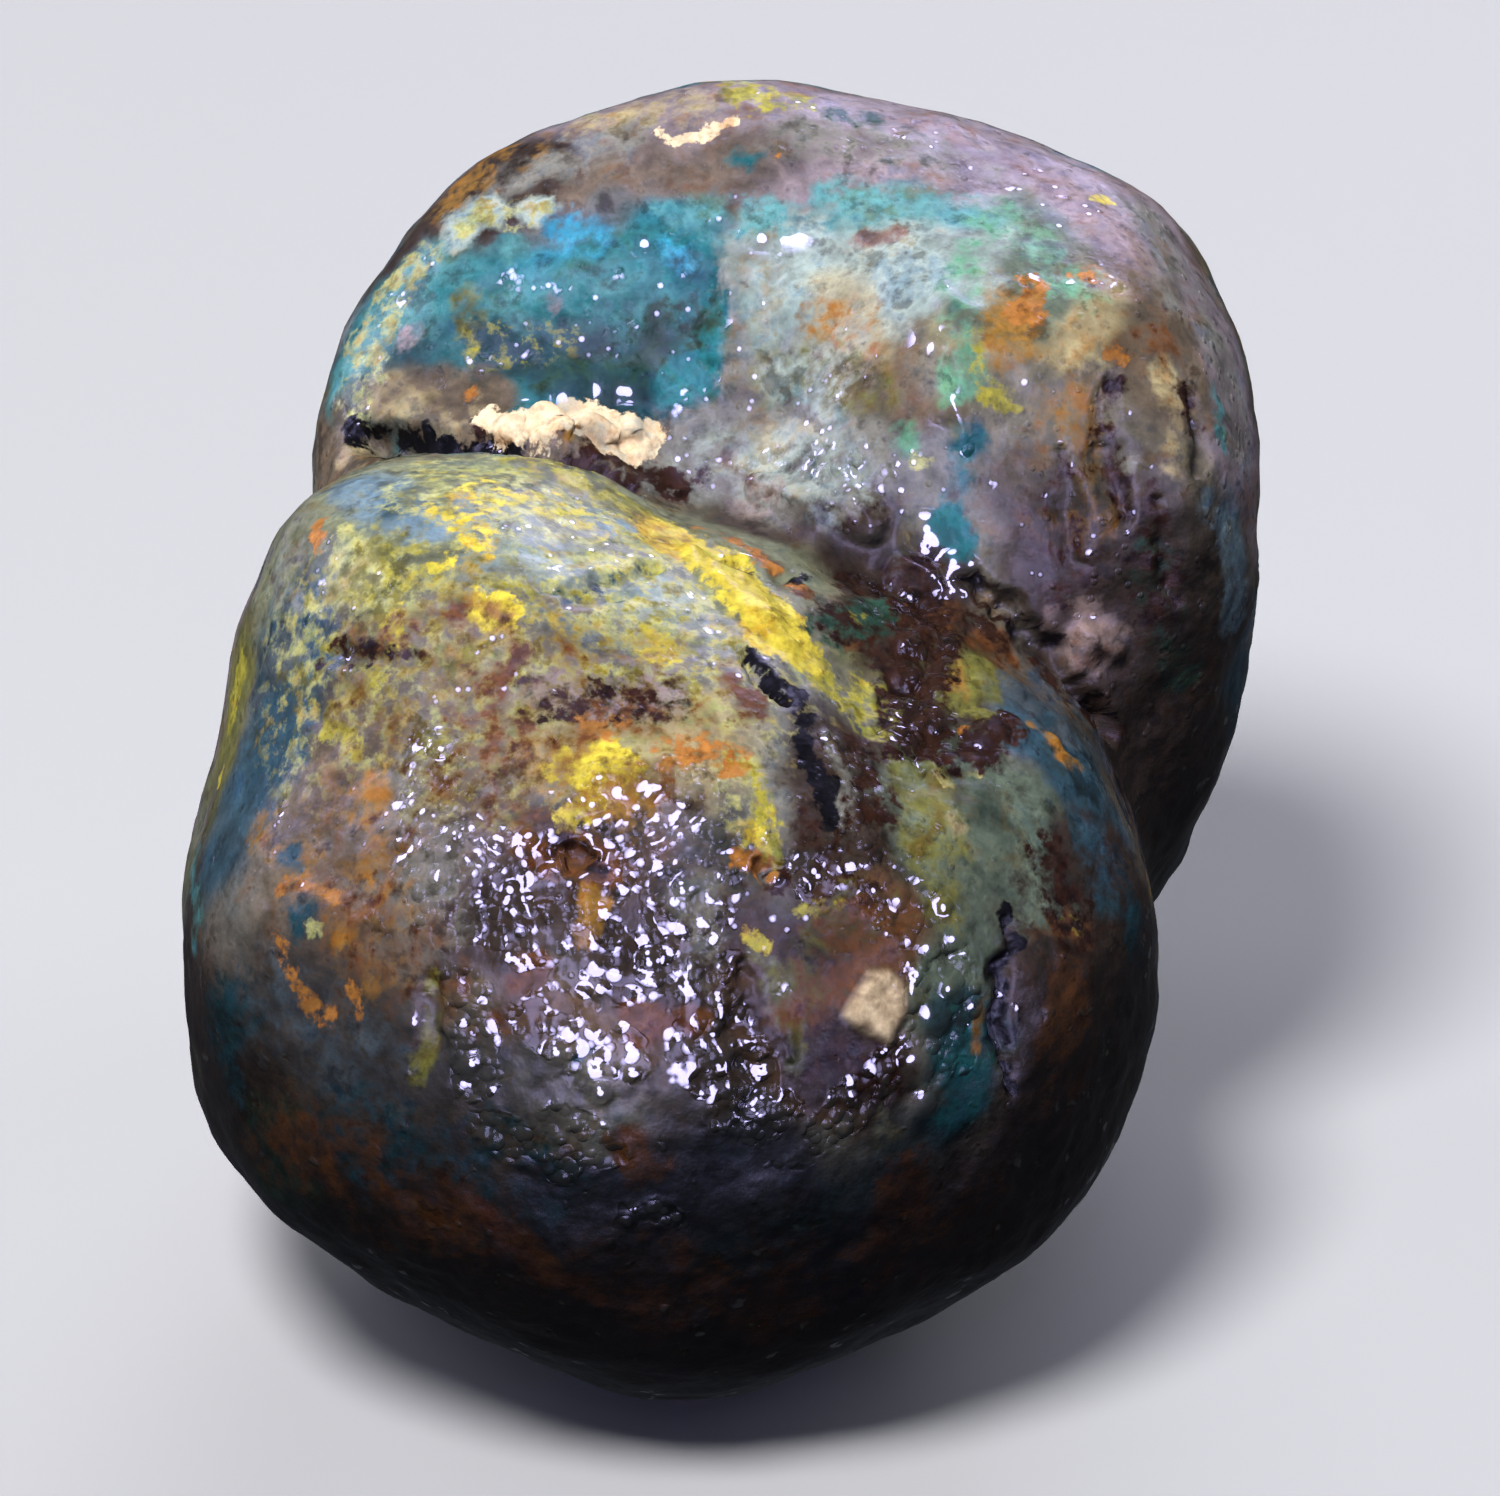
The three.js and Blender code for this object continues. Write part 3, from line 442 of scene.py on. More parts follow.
# Single large drops: radius, height, and where they sit.
DROP_MARKS = (
    (0.70, 0.16, [(-5, 3.6, 21.8), (-3.9, 3.6, 21.8)]),
    (0.60, 0.12, [(-3.1, 3.6, 21.8), (-2.3, 3.6, 21.7)]),
    (0.55, 0.11, [(-2, 6.6, 24.3), (1, 6.2, 24.7), (1.7, 6.2, 24.8), (5, 2.1, 23.8), (5.5, 0.7, 22.7)]),
    (0.75, 0.22, [(5.0, -0.5, 19.7), (5.6, -1, 19)]),
    (0.45, 0.10, [(2, -2, 19.4), (2.2, -5.6, 18.9)]),
    (0.32, 0.10, [
        (-7, -9, 18.6), (-7.2, -10.4, 17.6), (-6.6, -11, 17.4), (-1, -12.6, 16.8), (-3.4, -12.2, 17.2),
    ]),
    (0.36, 0.12, [
        (-7.6, -13.2, 13.4), (-6.1, -13.8, 12.6), (-4, -14.2, 13.2), (-3, -14.6, 12.3), (-1.8, -13.6, 15.4),
    ]),
    (0.60, 0.13, [(5, -12.4, 13), (4.5, -12.9, 12)]),
    (0.42, 0.11, [
        (5.6, -11.2, 14.6), (4.9, -11.6, 14.6), (5.6, -12, 13.6), (4.7, -13, 11), (4.2, -11.2, 15.8),
    ]),
    (0.22, 0.12, [(0.9, -11.2, 17.5), (1.3, -12.1, 16.8), (0.2, 4.4, 23), (0.1, 5.6, 24), (3.2, 0.9, 20.7)]),
)

# Cracks, pits and raised edges of the skin: depth (below zero for a rise), radius, points.
RELIEF_MARKS = (
    ("undercut below the lip", 0.9, 0.9, [
        (-9.2, 4, 20.1), (-7.5, 2.8, 20.2), (-5, 1.2, 20.6), (-2.4, 1, 20.2),
    ]),
    ("upright ridge in the window", -0.22, 0.6, RIDGE_LINE),
    ("step right of the ridge", 0.15, 0.8, [(1.1, 5.4, 23.8), (1.1, 3.8, 22.4)]),
    ("upright edge by the flank", -0.2, 0.6, [(5.6, 3.6, 24.8), (5.8, 1.6, 23.6), (5.6, 0.2, 22)]),
    ("groove of the flank", 0.4, 0.6, [(9.5, 1.3, 23), (9.5, 0.5, 21.5), (9.8, 0, 19.8)]),
    ("second groove of the flank", 0.3, 0.5, [(11.6, 2, 22.6), (11.7, 1.2, 20.6)]),
    ("third groove of the flank", 0.25, 0.5, [(10.6, 0, 20.4), (11, 0, 17.6)]),
    ("fourth groove of the flank", 0.25, 0.6, [(8.2, 0.4, 21.6), (8.6, -0.6, 19)]),
    ("crevice", 0.7, 0.6, [(6, -1, 18.8), (7, -1.2, 18), (8.2, -1.6, 17), (9, -1.8, 16), (10, -1.6, 14.6)]),
    ("bulge above the crevice", -0.35, 1.1, [(8.7, -0.8, 17.5), (9.5, -1, 16.8)]),
    ("bulge of the roll", -0.3, 1.0, [(0.6, 1.2, 20.3), (2.4, 0.2, 20.2), (3.8, -0.4, 20)]),
    ("cream chips", -0.3, 0.6, CHIPS_LINE),
    ("tongue", -0.3, 1.0, [(-0.8, -2.6, 20.4), (0.6, -4.2, 20.1), (1.6, -5.4, 19.5)]),
    ("hole in the tongue", 0.5, 0.45, TONGUE_HOLE),
    ("second hole", 0.4, 0.45, SECOND_HOLE),
    ("crack above the fissure", 0.5, 0.4, UPPER_CRACK),
    ("pit", 0.6, 0.5, PIT),
    ("hole in the lobe", 0.5, 0.6, LOBE_HOLE),
    ("fracture on the lobe", 0.2, 0.35, FRACTURE),
    ("second fracture", 0.2, 0.35, SECOND_FRACTURE),
    ("brown line", 0.15, 0.45, BROWN_LINE),
    ("right crack", 0.5, 0.45, RIGHT_CRACK),
    ("olive line", 0.2, 0.5, OLIVE_LINE),
    ("pale seam", -0.15, 0.5, SEAM),
    ("valley left of the seam", 0.25, 0.7, [(0.3, -13.2, 15), (0.6, -14, 13), (0.6, -14.4, 11.6)]),
)

# Pale chip set in the front: where its middle is, how far it stands out, and its corners around its
# middle, across and up.
CHIP_MIDDLE = (3.5, -13, 13.5)
CHIP_HEIGHT = 0.14
CHIP_CORNERS = (
    (0.15, 1.0), (0.6, 0.9), (0.95, 0.45), (0.85, -0.3), (0.5, -0.6),
    (0.15, -1.0), (-0.4, -0.25), (-0.75, 0.0), (-0.45, 0.4),
)


# ---- Settings -----------------------------------------------------------------------------------


def linear(code):
    """A colour written as six hexadecimal digits, in the linear values that shaders take."""
    shares = [int(code[start : start + 2], 16) / 255 for start in (0, 2, 4)]
    return [
        share / 12.92 if share <= 0.04045 else ((share + 0.055) / 1.055) ** 2.4 for share in shares
    ]


# Light tone, dark tone and crispness of the edge of each pigment, in the order in which they lie.
PIGMENTS = {
    "stone": ("8c867a", "4a453d", 1.0),
    "taupe": ("7c6a58", "382f28", 1.0),
    "haze": ("868a72", "565a46", 0.95),
    "ash": ("8c8b88", "4c4a48", 0.95),
    "slate": ("4c5763", "22282f", 1.1),
    "slate_blue": ("7c98ae", "3c566e", 1.0),
    "mauve": ("a092a0", "60545e", 1.0),
    "sea": ("6a7668", "38463e", 1.1),
    "navy": ("262c3e", "0e1018", 1.1),
    "deep_blue": ("34566c", "16303f", 1.0),
    "petrol": ("184a5a", "07202a", 1.1),
    "teal": ("1c7a88", "0b4450", 1.1),
    "azure": ("3ca4cc", "1a6288", 1.0),
    "aqua": ("66a2aa", "35707a", 1.0),
    "fog": ("a9b8b8", "76878a", 0.95),
    "sand": ("b8aa84", "84785a", 1.0),
    "rose": ("988280", "5c4e4e", 1.0),
    "mint": ("78b094", "457a66", 1.1),
    "green": ("36564a", "152c26", 1.2),
    "olive": ("7c7a3c", "484626", 1.1),
    "straw": ("bfc088", "84885a", 1.3),
    "olive_yellow": ("b2aa42", "767230", 1.4),
    "yellow": ("dccb48", "9c8a30", 1.6),
    "ochre": ("a47c3a", "664822", 1.2),
    "rust": ("6e4628", "34200f", 1.1),
    "orange": ("b87c3c", "74491f", 1.5),
    "umber": ("3c261e", "180e0b", 1.3),
    # Painted shade: near-black laid in the cracks, the fissure, a hole and under the lip.
    "soot": ("131318", "060608", 1.8),
    "cream": ("f0dec0", "ccb090", 2.4),
}


def tone_property(pigment, code, tone):
    return FloatVectorProperty(
        name=f"{pigment} {tone}".replace("_", " ").capitalize(),
        description=f"The {tone} tone of the {pigment.replace('_', ' ')} patches",
        subtype="COLOR",
        default=linear(code),
        min=0,
        max=1,
    )


class AmberPigments(bpy.types.PropertyGroup):
    """Two tones for each pigment of the stone."""

    __annotations__ = {
        f"{pigment}_{tone}": tone_property(pigment, code, tone)
        for pigment, (light, dark, _) in PIGMENTS.items()
        for tone, code in (("light", light), ("dark", dark))
    }


def length_property(name, description, size, least=0.0):
    """A length, given in millimetres."""
    return FloatProperty(
        name=name, description=description, default=size * MM, min=least * MM, max=1 * MM,
        unit="LENGTH", precision=5,
    )


class AmberNodule(bpy.types.PropertyGroup):
    """Sizes of the nodule's skin."""

    voxel: length_property("Mesh size", "Edge of the even mesh that the skin starts from", 0.37, 0.1)
    smoothing: IntProperty(
        name="Smoothing", description="Rounds that take the flat facets off", default=6, min=0, max=40,
    )
    swell: length_property("Swell", "Height of the skin's broad lumps", 0.3)
    knobs: length_property("Knobs", "Height of the small knobs", 0.09)
    crust: length_property("Crust", "Height of the brown crust's lumps", 0.45)
    pits: length_property("Pits", "Depth of the fine pits all over the front", 0.10)
    grain: length_property("Grain", "Height of the grain under the water", 0.10)


def power_property(place, power):
    """The power of one soft light."""
    return FloatProperty(
        name=f"Light {place}", description=f"Power of the soft light {place}",
        default=power, min=0, unit="POWER",
    )


class AmberStage(bpy.types.PropertyGroup):
    """The floor, the lights and the camera."""

    floor: FloatVectorProperty(
        name="Floor", description="Colour of the floor", subtype="COLOR", default=linear("a6a8ac"),
    )
    view_height: FloatProperty(
        name="View height", description="Angle of the camera above the floor",
        default=math.radians(30), subtype="ANGLE",
    )
    view_distance: FloatProperty(
        name="View distance", description="From the camera to the point that it looks at",
        default=240 * MM, unit="LENGTH",
    )
    key: power_property("above", 2.95)
    right: power_property("on the right", 0.45)
    back: power_property("behind", 1.0)
    left: power_property("on the left", 0.45)
    sparkle: FloatProperty(
        name="Sparkle", description="Brightness of the small lights that the wet skin mirrors",
        default=14, min=0,
    )


# ---- Mesh helpers -------------------------------------------------------------------------------


def deselect_all():
    for thing in bpy.context.selected_objects:
        thing.select_set(False)


def make_active(thing):
    deselect_all()
    thing.select_set(True)
    bpy.context.view_layer.objects.active = thing


def clear_selection(thing, mode):
    """Sets how a mesh is selected and leaves nothing selected, so that code can pick the parts."""
    make_active(thing)
    bpy.ops.object.mode_set(mode="EDIT")
    bpy.ops.mesh.select_mode(type=mode)
    bpy.ops.mesh.select_all(action="DESELECT")
    bpy.ops.object.mode_set(mode="OBJECT")


def vectors_of(mesh, kind):
    """The places or the normals of a mesh's vertices, one row each."""
    flat = np.empty(len(mesh.vertices) * 3)
    mesh.vertices.foreach_get(kind, flat)
    return flat.reshape(-1, 3)


def apply(thing, kind, name, **values):
    """Adds a modifier, sets it and applies it."""
    modifier = thing.modifiers.new(name, kind)
    for key, value in values.items():
        setattr(modifier, key, value)
    make_active(thing)
    bpy.ops.object.modifier_apply(modifier=modifier.name)


def smoothstep(low, high, values):
    share = np.clip((values - low) / (high - low), 0, 1)
    return share * share * (3 - 2 * share)


def store(mesh, name, values):
    layer = mesh.attributes.new(name, "FLOAT", "POINT")
    layer.data.foreach_set("value", np.ascontiguousarray(values, dtype=np.float32))


def store_colour(mesh, name, colours):
    layer = mesh.attributes.new(name, "FLOAT_COLOR", "POINT")
    full = np.hstack([colours, np.ones((len(colours), 1))])
    layer.data.foreach_set("color", np.ascontiguousarray(full, dtype=np.float32).ravel())


WEIGHT_STEPS = 1000  # a vertex group is filled level by level


def group_from(thing, name, values):
    """A vertex group with the given weights."""
    group = thing.vertex_groups.new(name=name)
    levels = np.round(np.clip(values, 0, 1) * WEIGHT_STEPS).astype(int)
    order = np.argsort(levels, kind="stable")
    edges = np.searchsorted(levels[order], np.arange(1, WEIGHT_STEPS + 2))
    for level, (first, last) in enumerate(zip(edges, edges[1:]), 1):
        if last > first:
            group.add(order[first:last].tolist(), level / WEIGHT_STEPS, "REPLACE")
    return group.name


# ---- Strokes on the skin ------------------------------------------------------------------------

SHORTEST = 1e-12  # square metres, so that a stroke of one point has a length to divide by
FACING_EDGE = (-0.5, 0.1)  # cosines between which a stroke fades on skin that turns away from it
SIMPLE_NOISE = (0.9, 2.0, 3)  # how fast its detail fades, how much finer each level is, and levels


class Chart:
    """The points of the skin, for strokes that follow it."""

    def __init__(self, mesh):
        self.places = vectors_of(mesh, "co")
        self.normals = vectors_of(mesh, "normal")
        self.ground = self.places
        polygons = [tuple(face.vertices) for face in mesh.polygons]
        self.tree = BVHTree.FromPolygons([Vector(place) for place in self.places], polygons)

    def snapped(self, point):
        place, normal, _, _ = self.tree.find_nearest(Vector(point) * MM)
        return np.array(place), np.array(normal)

    def wander(self, size, reach):
        """Moves the points that strokes measure from, so that a stroke's outline wanders."""
        drift = [
            noise.turbulence_vector(Vector(place), 3, False, noise_basis="PERLIN_ORIGINAL")
            for place in self.ground / (size * MM)
        ]
        self.places = self.ground + np.array(drift) * reach * MM

    def stroke(self, radius, strength, points, taper=0.0):
        """How far a stroke covers each point: its strength on the line, and none at the radius.

        A taper makes the stroke's two ends thinner than its middle.
        """
        ends = [self.snapped(point) for point in points]
        ends = ends if len(ends) > 1 else ends * 2
        cover = np.zeros(len(self.places))
        for order, ((start, start_normal), (end, end_normal)) in enumerate(zip(ends, ends[1:])):
            along = end - start
            length_squared = max(along @ along, SHORTEST)
            passed = np.clip((self.places - start) @ along / length_squared, 0, 1)[:, None]
            from_middle = 2 * (order + passed[:, 0]) / (len(ends) - 1) - 1
            width = radius * MM * (1 - taper * from_middle * from_middle)
            away = np.linalg.norm(self.places - start - passed * along, axis=1) / width
            facing = (self.normals * (start_normal * (1 - passed) + end_normal * passed)).sum(axis=1)
            share = np.clip(1 - away * away, 0, 1) * smoothstep(*FACING_EDGE, facing)
            cover = np.maximum(cover, share * strength)
        return cover

    def mottle(self, size, shift):
        """Smooth noise between 0 and 1, of the given size in millimetres."""
        scaled = self.places / (size * MM) + shift
        return np.array([noise.fractal(Vector(place), *SIMPLE_NOISE) for place in scaled]) * 0.5 + 0.5

    def painted(self, marks):
        """The strongest cover of several strokes."""
        covers = [self.stroke(*mark) for mark in marks]
        return np.max(covers, axis=0) if covers else np.zeros(len(self.places))


def drop_cover(chart):
    """The height of the large drops, as a share of a millimetre."""
    return chart.painted([
        (radius, height, [point]) for radius, height, points in DROP_MARKS for point in points
    ])


CHIP_REACH = 2  # millimetres from the chip's middle, past which nothing is the chip
CHIP_EDGE = 0.15  # millimetres on either side of the outline, in which the chip fades out


def chip_cover(chart):
    """One inside the pale chip's outline, and none a little way outside it."""
    middle, normal = chart.snapped(CHIP_MIDDLE)
    across = np.cross((0, 0, 1), normal)
    across /= np.linalg.norm(across)
    up = np.cross(normal, across)
    offset = (chart.places - middle) / MM
    beside, above = offset @ across, offset @ up
    inside = np.full(len(offset), np.inf)
    corners = CHIP_CORNERS[::-1]
    for (x0, y0), (x1, y1) in zip(corners, corners[1:] + corners[:1]):
        length = math.hypot(x1 - x0, y1 - y0)
        side = ((x1 - x0) * (above - y0) - (y1 - y0) * (beside - x0)) / length
        inside = np.minimum(inside, side)
    near = np.linalg.norm(offset, axis=1) < CHIP_REACH
    return smoothstep(-CHIP_EDGE, CHIP_EDGE, inside) * near


# ---- The nodule's shape -------------------------------------------------------------------------

FINE_SIDE = Vector((0, -0.85, 0.5)).normalized()  # the front and the top, which carry the fine relief
FINE_SPREAD = 0.25  # how squarely a face looks that way to be made finer
FINE_FOOT = 5 * MM  # the shaded foot stays as it is
GRAINY_FROM = 0.1  # the cover of water, crust, drops or chip at which a face is made finer still
WELD = 0.001 * MM

# Size in millimetres of the lumps of each kind of relief, in the order in which they are laid.
LUMP_SIZES = {"Swell": 2.6, "Knobs": 1.1, "Pits": 0.5, "Crust": 0.8, "Grain": 0.42}
DROP_GAIN = 12  # turns a drop's height into a mask with a firm edge
DROP_RIM = 0.02  # millimetres of height from which a drop has no grain
GLAZED = 0.6  # share of the knobs' height lost where the window or the panel has a strength of 1
FOOT_TOP = 0.15 * MM  # skin below this is pressed flat
LOOSE_EDGE = (0.2 * MM, 1.2 * MM)  # heights between which the lumps fade out above the resting flat
WET_EDGE = (0.1, 0.5)  # covers between which the grain under the water takes over from the pits
FRONT_EDGE = (0.2, 0.4)  # cosines between which the pits fade in
RELIEF_WANDER = (1.0, 0.34)  # size and reach in millimetres
END_TAPER = 0.55  # share of its width that a crack loses at its ends
RUGGED_LEAST, RUGGED_MORE = 0.55, 0.9  # a crack's depth in shares: the least, and what can be added
RUGGED_NOISE = (0.9, 4.7)  # size in millimetres, and a shift that sets it apart from other noise
CRUST_MARKS = tuple(mark[2:] for mark in MARKS if "crust" in mark[0] or mark[0] == "cream chips")
GLAZED_MARKS = tuple(wash[2:] for wash in WASHES if wash[0] in ("window", "middle panel"))


def skin_start(settings):
    """A smooth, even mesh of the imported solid."""
    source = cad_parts[NODE]
    skin = bpy.data.objects.new("nodule_skin", source.data.copy())
    bpy.context.scene.collection.objects.link(skin)
    skin.data.materials.clear()
    make_active(skin)
    bpy.ops.object.mode_set(mode="EDIT")
    bpy.ops.mesh.select_mode(type="VERT")
    bpy.ops.mesh.select_all(action="SELECT")
    bpy.ops.mesh.remove_doubles(threshold=WELD)
    bpy.ops.object.mode_set(mode="OBJECT")
    apply(skin, "REMESH", "Even mesh", mode="VOXEL", voxel_size=settings.voxel)
    apply(skin, "SMOOTH", "Worn", factor=0.5, iterations=settings.smoothing)
    return skin


def refine(skin, wanted, name):
    """Halves the mesh in the faces picked by a test, and evens the result."""
    clear_selection(skin, "FACE")
    skin.data.polygons.foreach_set("select", wanted)
    bpy.ops.object.mode_set(mode="EDIT")
    bpy.ops.mesh.subdivide(number_cuts=1, smoothness=0.0)
    bpy.ops.object.mode_set(mode="OBJECT")
    apply(skin, "SMOOTH", name, factor=0.5, iterations=2)


def front_faces(mesh):
    """The faces that show the cracks, the crust and the water."""
    return [
        face.normal.dot(FINE_SIDE) > FINE_SPREAD and face.center.z > FINE_FOOT for face in mesh.polygons
    ]


def grainy_faces(mesh):
    """The faces that carry beads, crust or drops."""
    chart = Chart(mesh)
    fine = chart.painted(WET_MARKS + CRUST_MARKS) + drop_cover(chart) + chip_cover(chart)
    return [max(fine[vertex] for vertex in face.vertices) > GRAINY_FROM for face in mesh.polygons]


def clouds(name, depth=2):
    texture = bpy.data.textures.new(name, "CLOUDS")
    texture.noise_depth = depth
    return texture


def pebbles(name):
    texture = bpy.data.textures.new(name, "VORONOI")
    texture.distance_metric = "DISTANCE_SQUARED"
    return texture


def roughen(skin, texture, height, weights):
    """Lumps of one texture, as high as the weights say."""
    name = texture.name
    texture.noise_scale = LUMP_SIZES[name] * MM
    apply(
        skin, "DISPLACE", name, texture=texture, texture_coords="LOCAL", mid_level=0.5,
        strength=height, vertex_group=group_from(skin, name, weights),
    )


def raise_skin(skin, name, heights, sign):
    """Moves the skin out, or in where the sign is negative, by heights in millimetres."""
    group = group_from(skin, name, heights)
    apply(skin, "DISPLACE", name, mid_level=0, strength=sign * MM, vertex_group=group)


def cuts_and_rises(chart):
    """Depths of the cracks and pits, and heights of the raised edges, in millimetres."""
    rugged = RUGGED_LEAST + RUGGED_MORE * chart.mottle(*RUGGED_NOISE)
    cuts, rises = np.zeros(len(rugged)), np.zeros(len(rugged))
    for _, depth, radius, points in RELIEF_MARKS:
        cover = chart.stroke(radius, 1.0, points, END_TAPER if len(points) > 1 else 0.0)
        bend = np.clip(cover * cover * abs(depth) * rugged, 0, 1)
        if depth > 0:
            cuts = np.maximum(cuts, bend)
        else:
            rises = np.maximum(rises, bend)
    return cuts, rises


def shape_relief(skin, settings):
    """Lumps, cracks, pits, drops and grain, as real height."""
    chart = Chart(skin.data)
    loose = smoothstep(*LOOSE_EDGE, chart.places[:, 2])
    wet = smoothstep(*WET_EDGE, chart.painted(WET_MARKS))
    front = smoothstep(*FRONT_EDGE, chart.normals @ np.array(FINE_SIDE))
    crust = chart.painted(CRUST_MARKS)
    drops = drop_cover(chart)
    calm = 1 - np.clip(drops * DROP_GAIN, 0, 1)
    knobby = np.clip(1 - GLAZED * chart.painted(GLAZED_MARKS), 0, 1)
    set_in = np.maximum(drops, chip_cover(chart) * CHIP_HEIGHT)
    chart.wander(*RELIEF_WANDER)
    cuts, rises = cuts_and_rises(chart)
    roughen(skin, clouds("Swell"), settings.swell, loose)
    roughen(skin, clouds("Knobs", 1), settings.knobs, loose * calm * knobby)
    roughen(skin, clouds("Pits"), settings.pits, loose * front * calm * (1 - wet))
    roughen(skin, pebbles("Crust"), -settings.crust, crust)
    roughen(skin, pebbles("Grain"), -settings.grain, wet * (drops < DROP_RIM))
    raise_skin(skin, "Cuts", cuts, -1)
    raise_skin(skin, "Rises", np.maximum(set_in, rises), 1)
    flatten_foot(skin)


def flatten_foot(skin):
    """Presses the resting flat to the floor's level."""
    clear_selection(skin, "VERT")
    for vertex in skin.data.vertices:
        vertex.select = vertex.co.z < FOOT_TOP
    bpy.ops.object.mode_set(mode="EDIT")
    bpy.ops.transform.resize(value=(1, 1, 0), center_override=(0, 0, 0))
    bpy.ops.object.mode_set(mode="OBJECT")


# ---- The nodule's paint -------------------------------------------------------------------------

MARKED_HEIGHT = math.radians(30)  # the marks describe the skin that faces forward and up at this angle
MARKED_SIDE = Vector((0, -math.cos(MARKED_HEIGHT), math.sin(MARKED_HEIGHT)))
WASH_WANDER = (2.4, 1.0)  # size and reach in millimetres
MARK_WANDER = (1.3, 0.4)
LOW_EDGE = (5 * MM, 18.5 * MM)  # painted shade: the colour is darkened below the first height and left as it is above the second
UNSEEN_LIFT = 0.8  # share of that painted shade which the sides that no mark describes do without
UNSEEN_EDGE = (-0.1, 0.25)  # cosines between which the wild patches fade out towards the marks

# Patches on the sides that no mark describes: pigment, size in millimetres, how rare, and strength.
WILD_PATCHES = (
    ("stone", 9.0, 0.50, 1.5),
    ("mauve", 9.0, 0.54, 1.5),
    ("slate", 8.0, 0.58, 1.4),
    ("sea", 8.0, 0.57, 1.4),
    ("teal", 7.0, 0.64, 1.6),
    ("deep_blue", 7.0, 0.62, 1.5),
    ("ash", 6.0, 0.60, 1.0),
    ("haze", 7.0, 0.60, 1.2),
    ("rust", 6.0, 0.62, 0.5),
    ("umber", 6.0, 0.68, 0.6),
    ("olive", 6.0, 0.62, 0.5),
    ("straw", 7.0, 0.56, 0.25),
    ("olive_yellow", 6.0, 0.58, 0.22),
    ("yellow", 4.0, 0.64, 0.35),
    ("orange", 3.5, 0.64, 0.5),
)
WILD_EDGE = 0.10  # how softly a wild patch ends
WILD_START, WILD_STEP = 3.1, 7.3  # shifts that give each pigment patches in other places
WILD_GROUND_SIZE = 1.6  # how many times larger the patches of the ground colour are
WILD_GROUND_FIRST = 20  # their first order, so that they lie apart from those of most pigments


def wild_patch(chart, order, size, rarity):
    """Soft random patches, of the given size in millimetres; each order has its own."""
    shares = chart.mottle(size, WILD_STEP * order + WILD_START)
    return smoothstep(rarity - WILD_EDGE, rarity + WILD_EDGE, shares)


def ground_colour(chart, pigments, unseen):
    """The soft tints that lie under the flecks."""
    def middle(pigment):
        light, dark = (np.array(getattr(pigments, f"{pigment}_{tone}")) for tone in ("light", "dark"))
        return (light + dark) / 2

    tones = np.tile(middle("taupe"), (len(chart.places), 1))
    for order, (pigment, size, rarity, _) in enumerate(WILD_PATCHES, WILD_GROUND_FIRST):
        cover = wild_patch(chart, order, size * WILD_GROUND_SIZE, rarity) * unseen
        tones += (middle(pigment) - tones) * cover[:, None]
    for _, pigment, radius, strength, points in WASHES:
        cover = smoothstep(0, 1, chart.stroke(radius, strength, points))
        tones += (middle(pigment) - tones) * cover[:, None]
    return tones


def pigment_cover(chart, order, pigment, unseen):
    """How far one pigment covers each point, by its marks and its wild patches."""
    cover = chart.painted([mark[2:] for mark in MARKS if mark[1] == pigment])
    for wild, size, rarity, strength in WILD_PATCHES:
        if wild == pigment:
            cover = np.maximum(cover, wild_patch(chart, order, size, rarity) * strength * unseen)
    return cover


def paint(skin, pigments):
    """The ground colour, and one attribute for each pigment and finish."""
    mesh = skin.data
    chart = Chart(mesh)
    unseen = 1 - smoothstep(*UNSEEN_EDGE, chart.normals @ np.array(MARKED_SIDE))
    chart.wander(*WASH_WANDER)
    store_colour(mesh, "ground", ground_colour(chart, pigments, unseen))
    chart.wander(*MARK_WANDER)
    for order, pigment in enumerate(PIGMENTS):
        store(mesh, f"paint_{pigment}", pigment_cover(chart, order, pigment, unseen))
    chart.places = chart.ground
    store(mesh, "wet", chart.painted(WET_MARKS))
    store(mesh, "drop", np.clip(drop_cover(chart) * DROP_GAIN, 0, 1))
    # Painted shade: how far down in the dim foot each point lies, less on the sides that no mark describes;
    # lone beads follow it too.
    low = 1 - smoothstep(*LOW_EDGE, chart.places[:, 2])
    store(mesh, "low", low * (1 - UNSEEN_LIFT * unseen))
    store(mesh, "chip", chip_cover(chart))


# ---- Shader helpers -----------------------------------------------------------------------------


